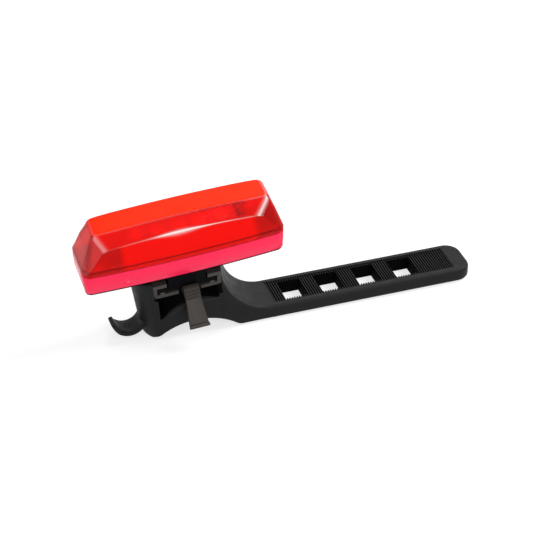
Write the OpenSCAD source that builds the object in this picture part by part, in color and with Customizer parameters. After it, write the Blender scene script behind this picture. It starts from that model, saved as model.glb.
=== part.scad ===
// Bicycle rear light on a rubber strap mount.
// Millimetres, +Z up. The strap lies on the table along +X. The origin is the middle of the saddle's
// mouth on the table. The light sits over the saddle, lens up, on a seat that leans towards the
// release tab (the -Y side).

/* [Light body] */
// Length of the light at the seam between lens and housing
light_len = 71.5; // [68:0.5:76]
// Width of the light at the middle of its length
light_wid = 18.8; // [18.4:0.1:20]
// Bow of each long side, from its ends to its middle
side_bow = 1.1; // [0.8:0.1:1.4]
// Radius of the four upright corners
corner_r = 3; // [2.5:0.1:3.5]
// Height of the seam above the light's underside
seam_z = 8.2; // [8.2:0.1:9]
// Draw-in of each end of the housing at its foot
end_draft = 0.6; // [0.2:0.1:1]
// Wall thickness of the housing
housing_wall = 1.7; // [1.5:0.1:1.8]

/* [Lens] */
// Height of the lens crown above the light's underside
lens_top = 24.9; // [23:0.1:27]
// Height of the crease between the lower slope and the upright window band
crease_z = 17.4; // [16.5:0.1:18.5]
// Width of the lens at the crease
crease_wid = 10; // [9.6:0.1:11]
// Distance from the light's end to the end of the crease
window_in = 9; // [7.5:0.1:10]
// Height of the plain strip between the rim and the foot of the slope
window_lip = 0.4; // [0.3:0.1:0.6]
// Width of the lens across its top edges
lens_top_wid = 8.7; // [8.2:0.1:9.4]
// Length of the lens across its top edges
lens_top_len = 62; // [60:0.5:64]
// Rise of the top face along its length
lens_crown = 0.95; // [0.5:0.05:1.4]
// Wall thickness of the lens
lens_wall = 1.7; // [1.5:0.1:1.9]
// Height of the solid rim at the foot of the lens
lens_rim = 0.9; // [0.7:0.1:1.1]

/* [Seat] */
// Height of the light's underside over the table, at the middle of the light
seat_h = 27.7; // [27.5:0.1:29]
// Distance of the light's middle from the saddle's middle, away from the strap
seat_back = 3.4; // [2.5:0.1:4.2]
// Lean of the seat towards the release tab, in degrees
seat_tilt = 12; // [9:0.5:13]
// Rise of the seat along the strap, in degrees
seat_roll = 3.5; // [0:0.5:4.5]

/* [Rubber base] */
// Height of the rubber walls below the light's underside
wall_drop = 1.2; // [0.8:0.1:2]
// Radius of the saddle that sits on the post
saddle_r = 24; // [22:0.5:25]
// Height of the saddle's crown above the table
saddle_rise = 5.7; // [5.2:0.1:6]
// Thickness of the rubber between the saddle and the pocket under the clip
saddle_t = 8.4; // [7.6:0.1:8.5]
// Radius of the pocket's curved floor
pocket_r = 23; // [21:0.5:26]
// Distance of the pocket floor's crown from the saddle's middle, towards the strap
pocket_x = 2.5; // [1.5:0.1:3.5]
// Width of the rubber ledges that carry the clip
ledge_wid = 1.4; // [1:0.1:1.8]
// Reach of the rounded end that carries the hook, at the table
end_reach = 17.8; // [17.5:0.1:18.4]
// Radius of that rounded end
end_r = 11; // [10.6:0.1:11.6]
// Lean of the rounded end away from the strap, in degrees
end_lean = 9; // [8:0.5:10]
// Distance from the origin to the foot of the ramp
ramp_foot = 28.6; // [28:0.1:29.2]
// Ramp radius on the side of the release tab
ramp_near_r = 20; // [19:0.5:21]
// Ramp radius on the far side
ramp_far_r = 14.5; // [13.5:0.5:16]
// Radius of the scoop that lowers the ramp's edge on the side of the release tab
scoop_r = 27; // [25:0.5:28]
// Width of that scoop
scoop_wid = 4; // [3.4:0.1:4.4]

/* [Strap] */
// Width of the strap and of the base
strap_wid = 17.5; // [17:0.1:19]
// Thickness of the strap
strap_t = 5.2; // [4.6:0.1:5.6]
// Reach of the strap from the origin
strap_end = 103.9; // [103:0.1:108]
// Radius of the strap's long edges
strap_edge_r = 1.3; // [0.8:0.1:1.8]
// Plan radius of the strap's end corners
strap_tip_r = 5.5; // [4:0.5:7]
// Length of the ribbed panel
panel_len = 68.4; // [67:0.1:69]
// Width of the ribbed panel
panel_wid = 12.7; // [12:0.1:13.5]
// Depth of the panel's floor between the ribs
panel_depth = 0.8; // [0.5:0.1:1]
// Depth of the rib tops below the strap's face
rib_drop = 0.25; // [0.15:0.05:0.35]
// Distance from rib to rib
rib_pitch = 0.9; // [0.8:0.05:1.2]
// Number of holes for the hook
hole_count = 4; // [3:1:4]
// Distance from hole to hole
hole_pitch = 14; // [13.5:0.1:15]
// Length of a hole along the strap
hole_len = 8.3; // [7.8:0.1:9]
// Width of a hole across the strap
hole_wid = 10.2; // [9.4:0.1:10.8]
// Distance from the panel's start to the first hole
hole_lead = 4.5; // [3.5:0.1:6]

/* [Hook] */
// Outer radius of the hook
hook_r = 6.5; // [6.2:0.1:6.8]
// Thickness of the hook
hook_t = 1.6; // [1.4:0.1:2]
// Distance of the hook's centre from the origin
hook_x = 22.9; // [22.5:0.1:23.1]
// Height of the hook's centre above the table
hook_z = 7.5; // [7.3:0.1:7.9]
// Angle by which the hook's tip stays below its centre, in degrees
hook_open = 15; // [8:1:22]
// Width of the hook where it leaves the base
hook_wid = 8.5; // [7:0.1:9.4]
// Width of the hook at its tip
hook_tip_wid = 3.8; // [3:0.1:5]
// Length over which the hook narrows to its tip
hook_taper = 2.8; // [2:0.1:4]

/* [Clip and release tab] */
// Outside width of the clip
clip_wid = 24.4; // [24:0.1:25]
// Wall thickness of the clip
clip_t = 1.4; // [1.2:0.1:1.6]
// Depth of the clip's underside below the light
clip_depth = 8.7; // [8.5:0.1:9]
// Distance of the clip's open mouth from the middle of the light
mouth_y = 9; // [8.6:0.1:9.4]
// Distance of the clip's stop wall from the middle of the light
stop_y = 5.4; // [5:0.1:5.8]
// Width of the foot's neck
neck_wid = 13.4; // [12:0.1:14]
// Thickness of the foot's flange
flange_t = 1.5; // [1.3:0.1:1.6]
// Depth of the flange's underside below the light
flange_z = 6; // [5.8:0.1:6.2]
// Sideways place of the tab, from the middle of the clip
tab_x = 0.9; // [0:0.1:1.5]
// Width of the tab at its catch
tab_wid = 5.6; // [5:0.1:6]
// Width of the tab at its free end
tab_end_wid = 7.2; // [6:0.1:7.6]
// Height of the catch above the flange's underside
catch_h = 1; // [0.8:0.1:1.1]
// Length of the lever below the catch
lever_len = 10.2; // [8:0.1:10.6]
// Thickness of the lever
lever_t = 1.4; // [1.2:0.1:1.6]

/* [Inside] */
// Thickness of the circuit board
board_t = 1.2; // [1:0.1:1.3]
// Length of the circuit board
board_len = 63.4; // [62.6:0.1:63.6]
// Width of the circuit board
board_wid = 11.4; // [11:0.1:11.5]
// Height of the board's underside above the light's underside
board_z = 7; // [6.9:0.05:7.1]
// Number of emitters
led_count = 5; // [3:1:5]
// Distance from emitter to emitter
led_pitch = 7.4; // [7.1:0.1:7.5]
// Height of the reflector's top above the light's underside
reflector_top = 16.4; // [15.4:0.1:16.6]
// Length of the battery pouch
cell_len = 34; // [30:0.5:35]
// Width of the battery pouch
cell_wid = 10.4; // [9:0.1:11]
// Thickness of the battery pouch
cell_t = 4; // [3.4:0.1:4.1]

/* [Button and port] */
// Distance of the button from the middle of the light
button_x = 22; // [21:0.1:22.4]
// Length of the button's face
button_len = 8.6; // [7.6:0.1:8.8]
// Height of the button's face
button_hgt = 3.8; // [3.2:0.1:4]
// How far the button stands out of the housing
button_proud = 0.6; // [0.4:0.1:0.9]
// Travel of the button
button_travel = 0.8; // [0.5:0.05:0.85]
// Distance of the charging port from the middle of the light
port_x = 22.5; // [22:0.1:23]
// Length of the port's flap
flap_len = 12.9; // [12:0.1:13]
// Height of the port's flap
flap_hgt = 5.4; // [5:0.1:5.6]

/* [Clearances] */
// Gap around pieces that slide past each other
slide_gap = 0.3; // [0.2:0.05:0.35]
// Gap around pieces that are fitted and stay put
fit_gap = 0.15; // [0.1:0.01:0.2]
// Radial gap of the tab's root in its seat
pivot_gap = 0.05; // [0.03:0.01:0.08]

/* [Hidden] */
$fn = 64;
eps = 0.01;
arc_fn = 256;

// What a change of the light's length moves each end by, from the length it is drawn at.
drawn_len = 71.5;
end_shift = (light_len - drawn_len) / 2;
board_run = board_len + 2 * end_shift;
cell_run = cell_len + 2 * end_shift;
led_step = led_pitch + 2 * end_shift / max(led_count - 1, 1);
led_span = (led_count - 1) * led_step / 2;
button_at = button_x + end_shift;
port_at = port_x + end_shift;
window_at = -20.6 - end_shift;

// Plan of the light: long sides are arcs, corners are arcs tangent to them.
side_r = (pow(light_len / 2, 2) + pow(side_bow, 2)) / (2 * side_bow);
crown_r = (pow(lens_top_len / 2, 2) + pow(lens_crown, 2)) / (2 * lens_crown);

// Levels of the light, from its underside up.
cover_t = 0.6;
seal_t = 0.3;
seal_gap = 0.05;
housing_z = cover_t + seal_t;
plug_z = 1.9;
lens_seal_t = 0.5;
lens_z = seam_z + lens_seal_t;
board_top = board_z + board_t;
rim_in = housing_wall + lens_rim;
slope_foot = lens_z + lens_rim + 0.6;
slope_run = (light_wid - crease_wid) / 2 / (crease_z - slope_foot);
window_foot_in = 1.8;
window_top_in = 1.4;
window_sag = 1.2;
cover_in = 0.35;
plug_in = housing_wall + 0.2;

// Screws: four hold the cover, two of the same bosses hold the board.
boss_x = 29.5 + end_shift;
boss_y = 4.4;
boss_r = 2.2;
screw_r = 1;
screw_head_r = 1.85;
screw_head_t = 1;
screw_tip_z = 4.6;
board_screw_r = 0.8;
board_screw_head_r = 1.35;
board_screw_tip = 5.3;

// Button, switch and port, all on the far side.
port_z = 4.6;
button_wall_y = side_y(button_at + button_len / 2 + 1) - housing_wall;
button_flange_t = 0.7;
button_flange_y = button_wall_y - slide_gap;
nub_y = button_flange_y - button_flange_t - 0.3;
switch_y = nub_y - button_travel - 0.1;
switch_size = [4, 2.6, 3];
socket_size = [7.6, 5.4, 2.7];
socket_y = side_y(port_at + socket_size[0] / 2) - housing_wall - 0.2;
port_turn = -asin(port_at / side_r);
flap_t = 0.8;
flap_sunk = 0.05;
flap_plug = [8.6, 0.7, 3.2];
flap_corner_r = 0.8;

// Reflector, chips, battery pad and leads.
reflector_gap = 0.4;
reflector_end = 5.2;
cup_foot_r = 1.9;
cup_r = 2.7;
peg_r = 0.8;
peg_y = 3.9;
chip_x = 22 + end_shift;
driver = [5, 4.4, 1.6];
coil = [4, 4, 1.9];
charger = [3, 3, 1];
small_part = [1.2, 0.7, 0.6];
small_step = 1.8;
pad_in = [4, 2];
pad_t = 0.5;
lead_r = 0.45;
lead_gap = 0.1;
lead_step = 2;

// Clip and foot.
floor_z = -clip_depth;
floor_top = floor_z + clip_t;
lip_z = flange_z - flange_t - slide_gap;
lip_t = 1.6;
rail_z = -flange_z - slide_gap;
flange_wid = clip_wid - 2 * clip_t - 2 * slide_gap;
lip_in = neck_wid + 2 * slide_gap + 0.6;
foot_front = -mouth_y;
foot_back = stop_y - slide_gap;
anchor = [1.2, 8, clip_t];

// Release tab: a tongue from its root to the catch, then a lever at 45 degrees.
root_y = 1.6;
root_r = 0.75;
root_z = floor_z + clip_t / 2;
tongue_t = 1;
catch_y = foot_front - slide_gap;
catch_top = -flange_z + catch_h;
catch_len = 1.1;
lever_y = catch_y - catch_len - 2.6;
lever_z = root_z - tongue_t / 2;
slot_wid = tab_wid + 2.4;
ridge_count = 3;
ridge_r = 0.35;

// Rubber.
pocket_top = saddle_rise + saddle_t;
panel_x = strap_end - panel_len - 6.4;
rib_count = floor(panel_len / rib_pitch);

// Half width of the light's outside at a distance x from its middle
function side_y(x) = sqrt(side_r * side_r - x * x) - side_r + light_wid / 2;
// Half width inside the lens at a distance x from its middle and a height z on its slope
function slope_in(x, z) = side_y(x) - lens_wall - slope_run * (z - slope_foot);
// Distances of count things that stand pitch apart, about the middle
function spread(count, pitch) = [for (i = [0:count - 1]) (i - (count - 1) / 2) * pitch];

// Places its children on the leaning seat, with the light's underside at z = 0.
module seat() {
    translate([-seat_back, 0, seat_h]) rotate([seat_tilt, -seat_roll, 0]) children();
}

// Extrudes an outline drawn across the light (y, z) along x.
module along_x(len) {
    rotate([90, 0, 90]) linear_extrude(height = len, center = true) children();
}

// Extrudes an outline drawn along the light (x, z) along y.
module along_y(len) {
    rotate([90, 0, 0]) linear_extrude(height = len, center = true) children();
}

// Outline with round ends, as long as len and as high as hgt.
module stadium(len, hgt) {
    square([len - hgt, hgt], center = true);
    for (side = [-1, 1]) translate([side * (len - hgt) / 2, 0]) circle(d = hgt);
}

// Outline with four round corners.
module round_rect(len, wid, r) {
    square([len - 2 * r, wid], center = true);
    square([len, wid - 2 * r], center = true);
    for (sx = [-1, 1], sy = [-1, 1]) {
        translate([sx * (len / 2 - r), sy * (wid / 2 - r)]) circle(r);
    }
}

// Plan of the light, drawn in by inset all round.
module plan(inset = 0) {
    half_len = light_len / 2 - inset;
    half_wid = light_wid / 2 - inset;
    big_r = side_r - inset;
    r = max(corner_r - inset, 0.8);
    corner_y = sqrt(pow(big_r - r, 2) - pow(half_len - r, 2)) - big_r + half_wid;
    tangent_x = (half_len - r) * big_r / (big_r - r);
    intersection() {
        translate([0, half_wid - big_r]) circle(big_r, $fn = arc_fn);
        translate([0, big_r - half_wid]) circle(big_r, $fn = arc_fn);
        square([2 * tangent_x, light_wid], center = true);
    }
    square([2 * half_len, 2 * corner_y], center = true);
    for (sx = [-1, 1], sy = [-1, 1]) translate([sx * (half_len - r), sy * corner_y]) circle(r);
}

// Slab of the light's plan from z0 to z1.
module plan_slab(z0, z1, inset = 0) {
    translate([0, 0, z0]) linear_extrude(height = z1 - z0) plan(inset);
}

// Ring between two insets of the plan.
module plan_ring(z0, z1, outer_in, inner_in) {
    translate([0, 0, z0]) linear_extrude(height = z1 - z0) difference() {
        plan(outer_in);
        plan(inner_in);
    }
}

// Places its children on the far wall at the port, square to the wall, its outside at y = 0.
module at_port() {
    translate([port_at, side_y(port_at), port_z]) rotate(port_turn) children();
}

// Places its children at every screw boss.
module at_bosses() {
    for (sx = [-1, 1], sy = [-1, 1]) translate([sx * boss_x, sy * boss_y, 0]) children();
}

// Places its children at the two bosses that also hold the board.
module at_board_screws() {
    for (side = [-1, 1]) translate([side * boss_x, side * boss_y, 0]) children();
}

// Long sides of the lens as cones about the plan's arcs, from low_z up, with half width half at low_z
// and a draw-in of run for each millimetre of height.
module cone_sides(half, low_z, high_z, run) {
    hgt = high_z - low_z;
    axis_y = side_r - light_wid / 2;
    intersection() {
        translate([0, axis_y, low_z]) {
            cylinder(r1 = axis_y + half, r2 = axis_y + half - run * hgt, h = hgt, $fn = arc_fn);
        }
        translate([0, -axis_y, low_z]) {
            cylinder(r1 = axis_y + half, r2 = axis_y + half - run * hgt, h = hgt, $fn = arc_fn);
        }
    }
}

// Raked ends and crowned top of the lens, drawn in by inset.
module lens_ends(inset, foot_z) {
    low_z = lens_z - 1;
    over_z = lens_top + 2;
    end_run = (light_len - lens_top_len) / 2 / (lens_top - lens_crown - foot_z);
    end_low = light_len / 2 + end_run * (foot_z - low_z) - inset;
    end_over = light_len / 2 - end_run * (over_z - foot_z) - inset;
    along_y(light_wid + 2) intersection() {
        polygon([[-end_low, low_z], [end_low, low_z], [end_over, over_z], [-end_over, over_z]]);
        translate([0, lens_top - inset - crown_r]) circle(crown_r, $fn = arc_fn);
    }
}

// Slopes and upright bands of the lens, drawn in by inset: bowed slopes from foot_z up to the crease.
module slopes_and_bands(inset, foot_z) {
    low_z = lens_z - 1;
    over_z = lens_top + 2;
    lean = (light_wid - crease_wid) / 2 / (crease_z - foot_z);
    band_run = (crease_wid - lens_top_wid) / 2 / (lens_top - crease_z);
    half_low = light_wid / 2 + lean * (foot_z - low_z) - inset;
    band_low = crease_wid / 2 + band_run * (crease_z - low_z) - inset;
    band_over = crease_wid / 2 - band_run * (over_z - crease_z) - inset;
    cone_sides(half_low, low_z, crease_z + 1, lean);
    along_x(2 * light_len) polygon([
        [-band_low, low_z], [band_low, low_z], [band_over, over_z], [-band_over, over_z]
    ]);
}

// Inside of the lens, drawn in by inset, with its slopes from foot_z up.
module lens_hollow(inset, foot_z) {
    intersection() {
        plan_slab(lens_z, lens_top + 2, inset);
        slopes_and_bands(inset, foot_z);
        lens_ends(inset, foot_z);
    }
}

// Outside of the lens: a block with bowed sides, and a window cut into each long side.
module lens_block(foot_z) {
    low_z = lens_z - 1;
    over_z = lens_top + 2;
    run = (light_wid / 2 - lens_top_wid / 2 - window_lip / 2) / (lens_top - foot_z);
    difference() {
        intersection() {
            plan_slab(lens_z, over_z);
            cone_sides(light_wid / 2 + run * (foot_z - low_z), low_z, over_z, run);
            lens_ends(0, foot_z);
        }
        for (side = [0, 1]) mirror([0, side, 0]) window_cut(foot_z);
    }
}

// Window of the near side: what lies outside the slope and the band, up to a raked face at each end.
module window_cut(foot_z) {
    foot = [light_len / 2 - window_foot_in, -light_wid / 2, foot_z];
    mid = [light_len / 2 - window_in, -crease_wid / 2, crease_z - window_sag];
    head = [lens_top_len / 2 - window_top_in, -lens_top_wid / 2, lens_top];
    face = cross(mid - foot, head - foot);
    lean = acos(face[2] / norm(face));
    difference() {
        translate([-light_len, -2 * light_wid, foot_z]) cube([2 * light_len, 2 * light_wid - 1, lens_top]);
        slopes_and_bands(0, foot_z + window_lip);
        for (side = [0, 1]) mirror([side, 0, 0]) translate(mid) {
            rotate([0, lean, atan2(face[1], face[0])]) {
                translate([-light_len, -light_len, 0]) cube(2 * light_len);
            }
        }
    }
}

// Rubber moulding: strap, saddle, pocket walls, ramp and hook in one piece.
module strap_mount() {
    color([0.13, 0.13, 0.14]) difference() {
        union() {
            strap_bar();
            base_block();
            hook();
        }
        translate([0, 0, saddle_rise - saddle_r]) along_y(2 * strap_wid) circle(saddle_r);
        pocket();
        strap_holes();
        rib_grooves();
        seat() clip_anchors();
    }
}

// Flat bar of the strap, with round long edges and round end corners.
module strap_bar() {
    bar_x0 = saddle_r / 2;
    bar_len = strap_end - bar_x0;
    intersection() {
        translate([bar_x0 + bar_len / 2, 0, strap_t / 2]) along_x(bar_len) {
            round_rect(strap_wid, strap_t, strap_edge_r);
        }
        translate([strap_end / 2, 0, -eps]) linear_extrude(height = strap_t + 2 * eps) {
            round_rect(strap_end, strap_wid, strap_tip_r);
        }
    }
}

// Block of the base: leaning round end, leaning top, ramp down to the strap and scooped edge.
module base_block() {
    ramp_slope = atan((ramp_near_r - ramp_far_r) / strap_wid);
    box_x = end_r - end_reach;
    difference() {
        intersection() {
            union() {
                translate([box_x, 0, 0]) rotate([0, -end_lean, 0]) {
                    cylinder(r = end_r, h = 4 * seat_h, center = true, $fn = 96);
                }
                translate([box_x, -strap_wid / 2, 0]) cube([ramp_foot - box_x, strap_wid, 2 * seat_h]);
            }
            translate([-2 * end_reach, -strap_wid / 2, 0]) {
                cube([ramp_foot + 2 * end_reach, strap_wid, 2 * seat_h]);
            }
            seat() translate([-60, -60, -wall_drop - 120]) cube(120);
        }
        translate([ramp_foot, -strap_wid / 2, strap_t]) rotate([-90 - ramp_slope, 0, 0]) {
            ramp_cone(ramp_slope);
        }
        translate([ramp_foot, -strap_wid / 2, strap_t + scoop_r]) scoop_cone();
    }
}

// Steep cone that lowers the near edge of the ramp and of the wall beside the clip.
module scoop_cone() {
    inner_r = ramp_far_r + 2;
    grow = (scoop_r - inner_r) / scoop_wid;
    translate([0, -1, 0]) rotate([-90, 0, 0]) {
        cylinder(r1 = scoop_r + grow, r2 = inner_r, h = scoop_wid + 1, $fn = 128);
    }
}

// Cone that cuts the ramp: its lowest line lies on the strap's face.
module ramp_cone(slope) {
    run = strap_wid / cos(slope);
    near_r = ramp_near_r * cos(slope);
    far_r = ramp_far_r * cos(slope);
    grow = (near_r - far_r) / run;
    translate([0, -near_r, -run]) {
        cylinder(r1 = near_r + grow * run, r2 = far_r - grow * run, h = 3 * run);
    }
}

// Pocket between the walls, over a curved floor, open to both sides; ledges carry the clip.
module pocket() {
    low_wid = clip_wid - 2 * ledge_wid;
    difference() {
        seat() {
            translate([-clip_wid / 2, -40, floor_z]) cube([clip_wid, 80, 40]);
            translate([-low_wid / 2, -40, floor_z - 30]) cube([low_wid, 80, 40]);
        }
        translate([pocket_x, 0, pocket_top - pocket_r]) along_y(200) circle(pocket_r, $fn = 128);
        translate([-50, -50, -40]) cube([100, 100, 40 + strap_t]);
    }
}

// Holes of the strap that the hook drops into.
module strap_holes() {
    for (i = [0:hole_count - 1]) {
        translate([panel_x + hole_lead + i * hole_pitch, -hole_wid / 2, -1]) {
            cube([hole_len, hole_wid, strap_t + 2]);
        }
    }
}

// Recess of the panel, with grooves that leave the cross ribs standing.
module rib_grooves() {
    translate([panel_x, -panel_wid / 2, strap_t - rib_drop]) cube([panel_len, panel_wid, 1]);
    for (i = [0:rib_count - 1]) {
        translate([panel_x + i * rib_pitch, -panel_wid / 2, strap_t - panel_depth]) {
            cube([rib_pitch / 2, panel_wid, 1]);
        }
    }
}

// Hook that takes the strap's hole: a curved tongue, cut square and narrower at its tip.
module hook() {
    tip_x = -hook_x - hook_r;
    difference() {
        intersection() {
            translate([-hook_x, 0, hook_z]) along_y(strap_wid) difference() {
                circle(hook_r);
                circle(hook_r - hook_t);
                rotate(hook_open) translate([-2 * hook_r, 0]) square(4 * hook_r);
            }
            linear_extrude(height = 2 * hook_r + hook_z) polygon([
                [tip_x, -hook_tip_wid / 2], [tip_x + hook_taper, -hook_wid / 2],
                [0, -hook_wid / 2], [0, hook_wid / 2],
                [tip_x + hook_taper, hook_wid / 2], [tip_x, hook_tip_wid / 2]
            ]);
        }
        translate([-hook_x, 0, hook_z - hook_r + hook_t / 2]) cylinder(r = 1.2, h = hook_r);
    }
}

// Lugs that key the clip into the rubber walls.
module clip_anchors() {
    for (side = [-1, 1]) {
        translate([side * (clip_wid + anchor[0]) / 2, -1, floor_z + clip_t / 2]) {
            cube(anchor, center = true);
        }
    }
}

// Hard clip: an open channel with lips, a stop wall, two rails and a slot for the tab.
module clip() {
    mid_y = (stop_y + clip_t - mouth_y) / 2;
    run = stop_y + clip_t + mouth_y;
    color([0.22, 0.21, 0.2]) seat() difference() {
        union() {
            translate([0, mid_y, 0]) rotate([90, 0, 0]) {
                linear_extrude(height = run, center = true) clip_section();
            }
            translate([-clip_wid / 2, stop_y, floor_z]) {
                cube([clip_wid, clip_t, clip_depth - lip_z + lip_t]);
            }
            clip_anchors();
            translate([tab_x, root_y + 1.4, root_z]) cube([slot_wid, 3, 2.6], center = true);
        }
        translate([tab_x - slot_wid / 2, -mouth_y - 1, floor_z - 1]) {
            cube([slot_wid, mouth_y + 1 + root_y, clip_t + 3]);
        }
        translate([tab_x, root_y, root_z]) along_x(slot_wid + 2 * eps) {
            circle(root_r + pivot_gap);
        }
    }
}

// Section of the channel: floor, walls, lips and the rails that carry the flange.
module clip_section() {
    translate([-clip_wid / 2, floor_z]) square([clip_wid, clip_t]);
    for (side = [-1, 1]) {
        translate([side * (clip_wid - clip_t) / 2, (floor_z - lip_z + lip_t) / 2]) {
            square([clip_t, clip_depth - lip_z + lip_t], center = true);
        }
        translate([side * (clip_wid + lip_in) / 4, -lip_z + lip_t / 2]) {
            square([(clip_wid - lip_in) / 2, lip_t], center = true);
        }
        translate([side * (flange_wid / 2 - 1.6), (floor_top + rail_z) / 2 - eps]) {
            square([1.6, rail_z - floor_top + 2 * eps], center = true);
        }
    }
}

// Release tab: root, tongue, ridged catch and lever with a lip at its end.
module release_tab() {
    color([0.25, 0.24, 0.22]) seat() translate([tab_x, 0, 0]) {
        translate([0, root_y, root_z]) along_x(tab_wid) circle(root_r);
        along_x(tab_wid) polygon([
            [root_y, root_z - tongue_t / 2], [root_y, root_z + tongue_t / 2],
            [catch_y, root_z + tongue_t / 2], [catch_y, catch_top],
            [catch_y - catch_len, catch_top], [lever_y, lever_z], [lever_y + 1.4, lever_z]
        ]);
        for (i = [1:ridge_count]) {
            part = i / (ridge_count + 0.6);
            translate([
                0, catch_y - catch_len + part * (lever_y - catch_y + catch_len),
                catch_top + part * (lever_z - catch_top)
            ]) along_x(tab_wid) circle(ridge_r);
        }
        intersection() {
            along_x(tab_end_wid) tab_lever();
            translate([0, 0, floor_z - 2 * lever_len]) linear_extrude(height = 3 * lever_len) {
                polygon([
                    [-tab_wid / 2, lever_y + 3], [-tab_wid / 2, lever_y],
                    [-tab_end_wid / 2, lever_y - lever_len], [tab_end_wid / 2, lever_y - lever_len],
                    [tab_wid / 2, lever_y], [tab_wid / 2, lever_y + 3]
                ]);
            }
        }
    }
}

// Side view of the lever and the lip at its free end.
module tab_lever() {
    translate([lever_y, lever_z]) rotate(225) {
        translate([-1, 0]) square([lever_len + 1, lever_t]);
        translate([lever_len - 1.3, -0.7]) square([1.3, lever_t + 0.7]);
    }
}

// Clear red lens, with a solid rim and a tongue that sits inside the housing.
module lens() {
    color([0.9, 0.08, 0.05, 0.6]) seat() {
        difference() {
            lens_block(lens_z + lens_rim);
            intersection() {
                lens_hollow(lens_wall, slope_foot);
                translate([-light_len, -light_wid, lens_z + lens_rim]) {
                    cube([2 * light_len, 2 * light_wid, lens_top]);
                }
            }
            plan_slab(lens_z - 1, lens_z + lens_rim + 0.2, rim_in);
        }
        plan_ring(seam_z - 1, lens_z + eps, housing_wall + fit_gap, rim_in);
    }
}

// Dark gasket that shows as the line between lens and housing.
module lens_seal() {
    color([0.1, 0.05, 0.05]) seat() plan_ring(seam_z, lens_z, 0.3, housing_wall + fit_gap - seal_gap);
}

// Red housing ring, with screw bosses, button slot, port and indicator hole.
module housing() {
    color([0.95, 0.15, 0.3]) seat() difference() {
        union() {
            intersection() {
                plan_ring(housing_z, seam_z, 0, housing_wall);
                along_y(light_wid + 2) polygon([
                    [end_draft - light_len / 2, housing_z], [light_len / 2 - end_draft, housing_z],
                    [light_len / 2, seam_z], [-light_len / 2, seam_z]
                ]);
            }
            at_bosses() translate([0, 0, plug_z]) cylinder(r = boss_r, h = board_z - plug_z);
            boss_webs();
        }
        at_bosses() translate([0, 0, plug_z - 1]) cylinder(r = screw_r, h = screw_tip_z + 1.4 - plug_z);
        at_board_screws() translate([0, 0, board_screw_tip - 0.1]) {
            cylinder(r = board_screw_r, h = board_z);
        }
        translate([-button_at, light_wid / 2, port_z]) along_y(light_wid) {
            stadium(button_len + 2 * slide_gap, button_hgt + 2 * slide_gap);
        }
        at_port() {
            cube([flap_plug[0] + 1, 6, flap_plug[2] + 0.8], center = true);
            translate([0, 5 - flap_sunk - flap_t - 0.05, 0]) {
                cube([flap_len + 2 * slide_gap, 10, flap_hgt + 2 * slide_gap], center = true);
            }
        }
        window_pin(0.62);
    }
}

// Webs that tie the screw bosses to the long walls.
module boss_webs() {
    reach = side_y(boss_x) - housing_wall / 2 - boss_y;
    for (sx = [-1, 1], sy = [-1, 1]) {
        translate([sx * boss_x, sy * (boss_y + reach / 2), (plug_z + board_z) / 2]) {
            cube([1.8, reach, board_z - plug_z], center = true);
        }
    }
}

// Black cover under the housing, with the foot that slides into the clip.
module back_cover() {
    run = foot_back - foot_front;
    color([0.07, 0.07, 0.08]) seat() difference() {
        union() {
            intersection() {
                plan_slab(0, cover_t, cover_in);
                cube([light_len - 2 * (end_draft + cover_in), 2 * light_wid, 3 * cover_t], center = true);
            }
            plan_slab(cover_t - eps, plug_z, plug_in);
            translate([-neck_wid / 2, foot_front, flange_t - flange_z - eps]) {
                cube([neck_wid, run, flange_z - flange_t + 2 * eps]);
            }
            translate([0, foot_front + run / 2, -flange_z + flange_t / 2]) {
                cube([flange_wid, run, flange_t], center = true);
            }
        }
        at_bosses() {
            translate([0, 0, -1]) cylinder(r = screw_r + 0.1, h = plug_z + 2);
            translate([0, 0, -1]) cylinder(r = screw_head_r + 0.1, h = 1 + screw_head_t);
        }
    }
}

// Flat gasket between cover and housing.
module cover_seal() {
    color([0.1, 0.1, 0.1]) seat() plan_ring(cover_t, housing_z, 0.9, plug_in);
}

// Screws that hold the cover: flat heads with a cross recess.
module cover_screws() {
    color([0.75, 0.75, 0.77]) seat() at_bosses() difference() {
        union() {
            cylinder(r = screw_head_r, h = screw_head_t);
            cylinder(r = screw_r - 0.02, h = screw_tip_z);
        }
        cross_recess(2.2);
    }
}

// Cross-shaped driver recess, open at z = 0 and upwards into the head.
module cross_recess(len) {
    for (turn = [0, 90]) rotate(turn) cube([len, 0.5, 1.1], center = true);
}

// Circuit board, with its screw holes and peg holes.
module circuit_board() {
    color([0.06, 0.09, 0.07]) seat() difference() {
        translate([-board_run / 2, -board_wid / 2, board_z]) cube([board_run, board_wid, board_t]);
        at_board_screws() translate([0, 0, board_z - 1]) {
            cylinder(r = board_screw_r + 0.1, h = board_t + 2);
        }
        reflector_pegs(board_z - 1, peg_r + pivot_gap);
    }
}

// Screws that hold the board down on its bosses.
module board_screws() {
    color([0.75, 0.75, 0.77]) seat() at_board_screws() {
        translate([0, 0, board_screw_tip]) {
            cylinder(r = board_screw_r - 0.02, h = board_top - board_screw_tip + eps);
        }
        difference() {
            translate([0, 0, board_top]) cylinder(r = board_screw_head_r, h = 0.9);
            translate([0, 0, board_top + 0.9]) cross_recess(1.8);
        }
    }
}

// Emitters: a flat body with a round dome each.
module leds() {
    color([1, 0.85, 0.4]) seat() for (x = spread(led_count, led_step)) {
        translate([x, 0, board_top + 0.4]) cube([3, 2.8, 0.8], center = true);
        translate([x, 0, board_top + 0.7]) cylinder(r = 1.1, h = 0.6);
    }
}

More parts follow.
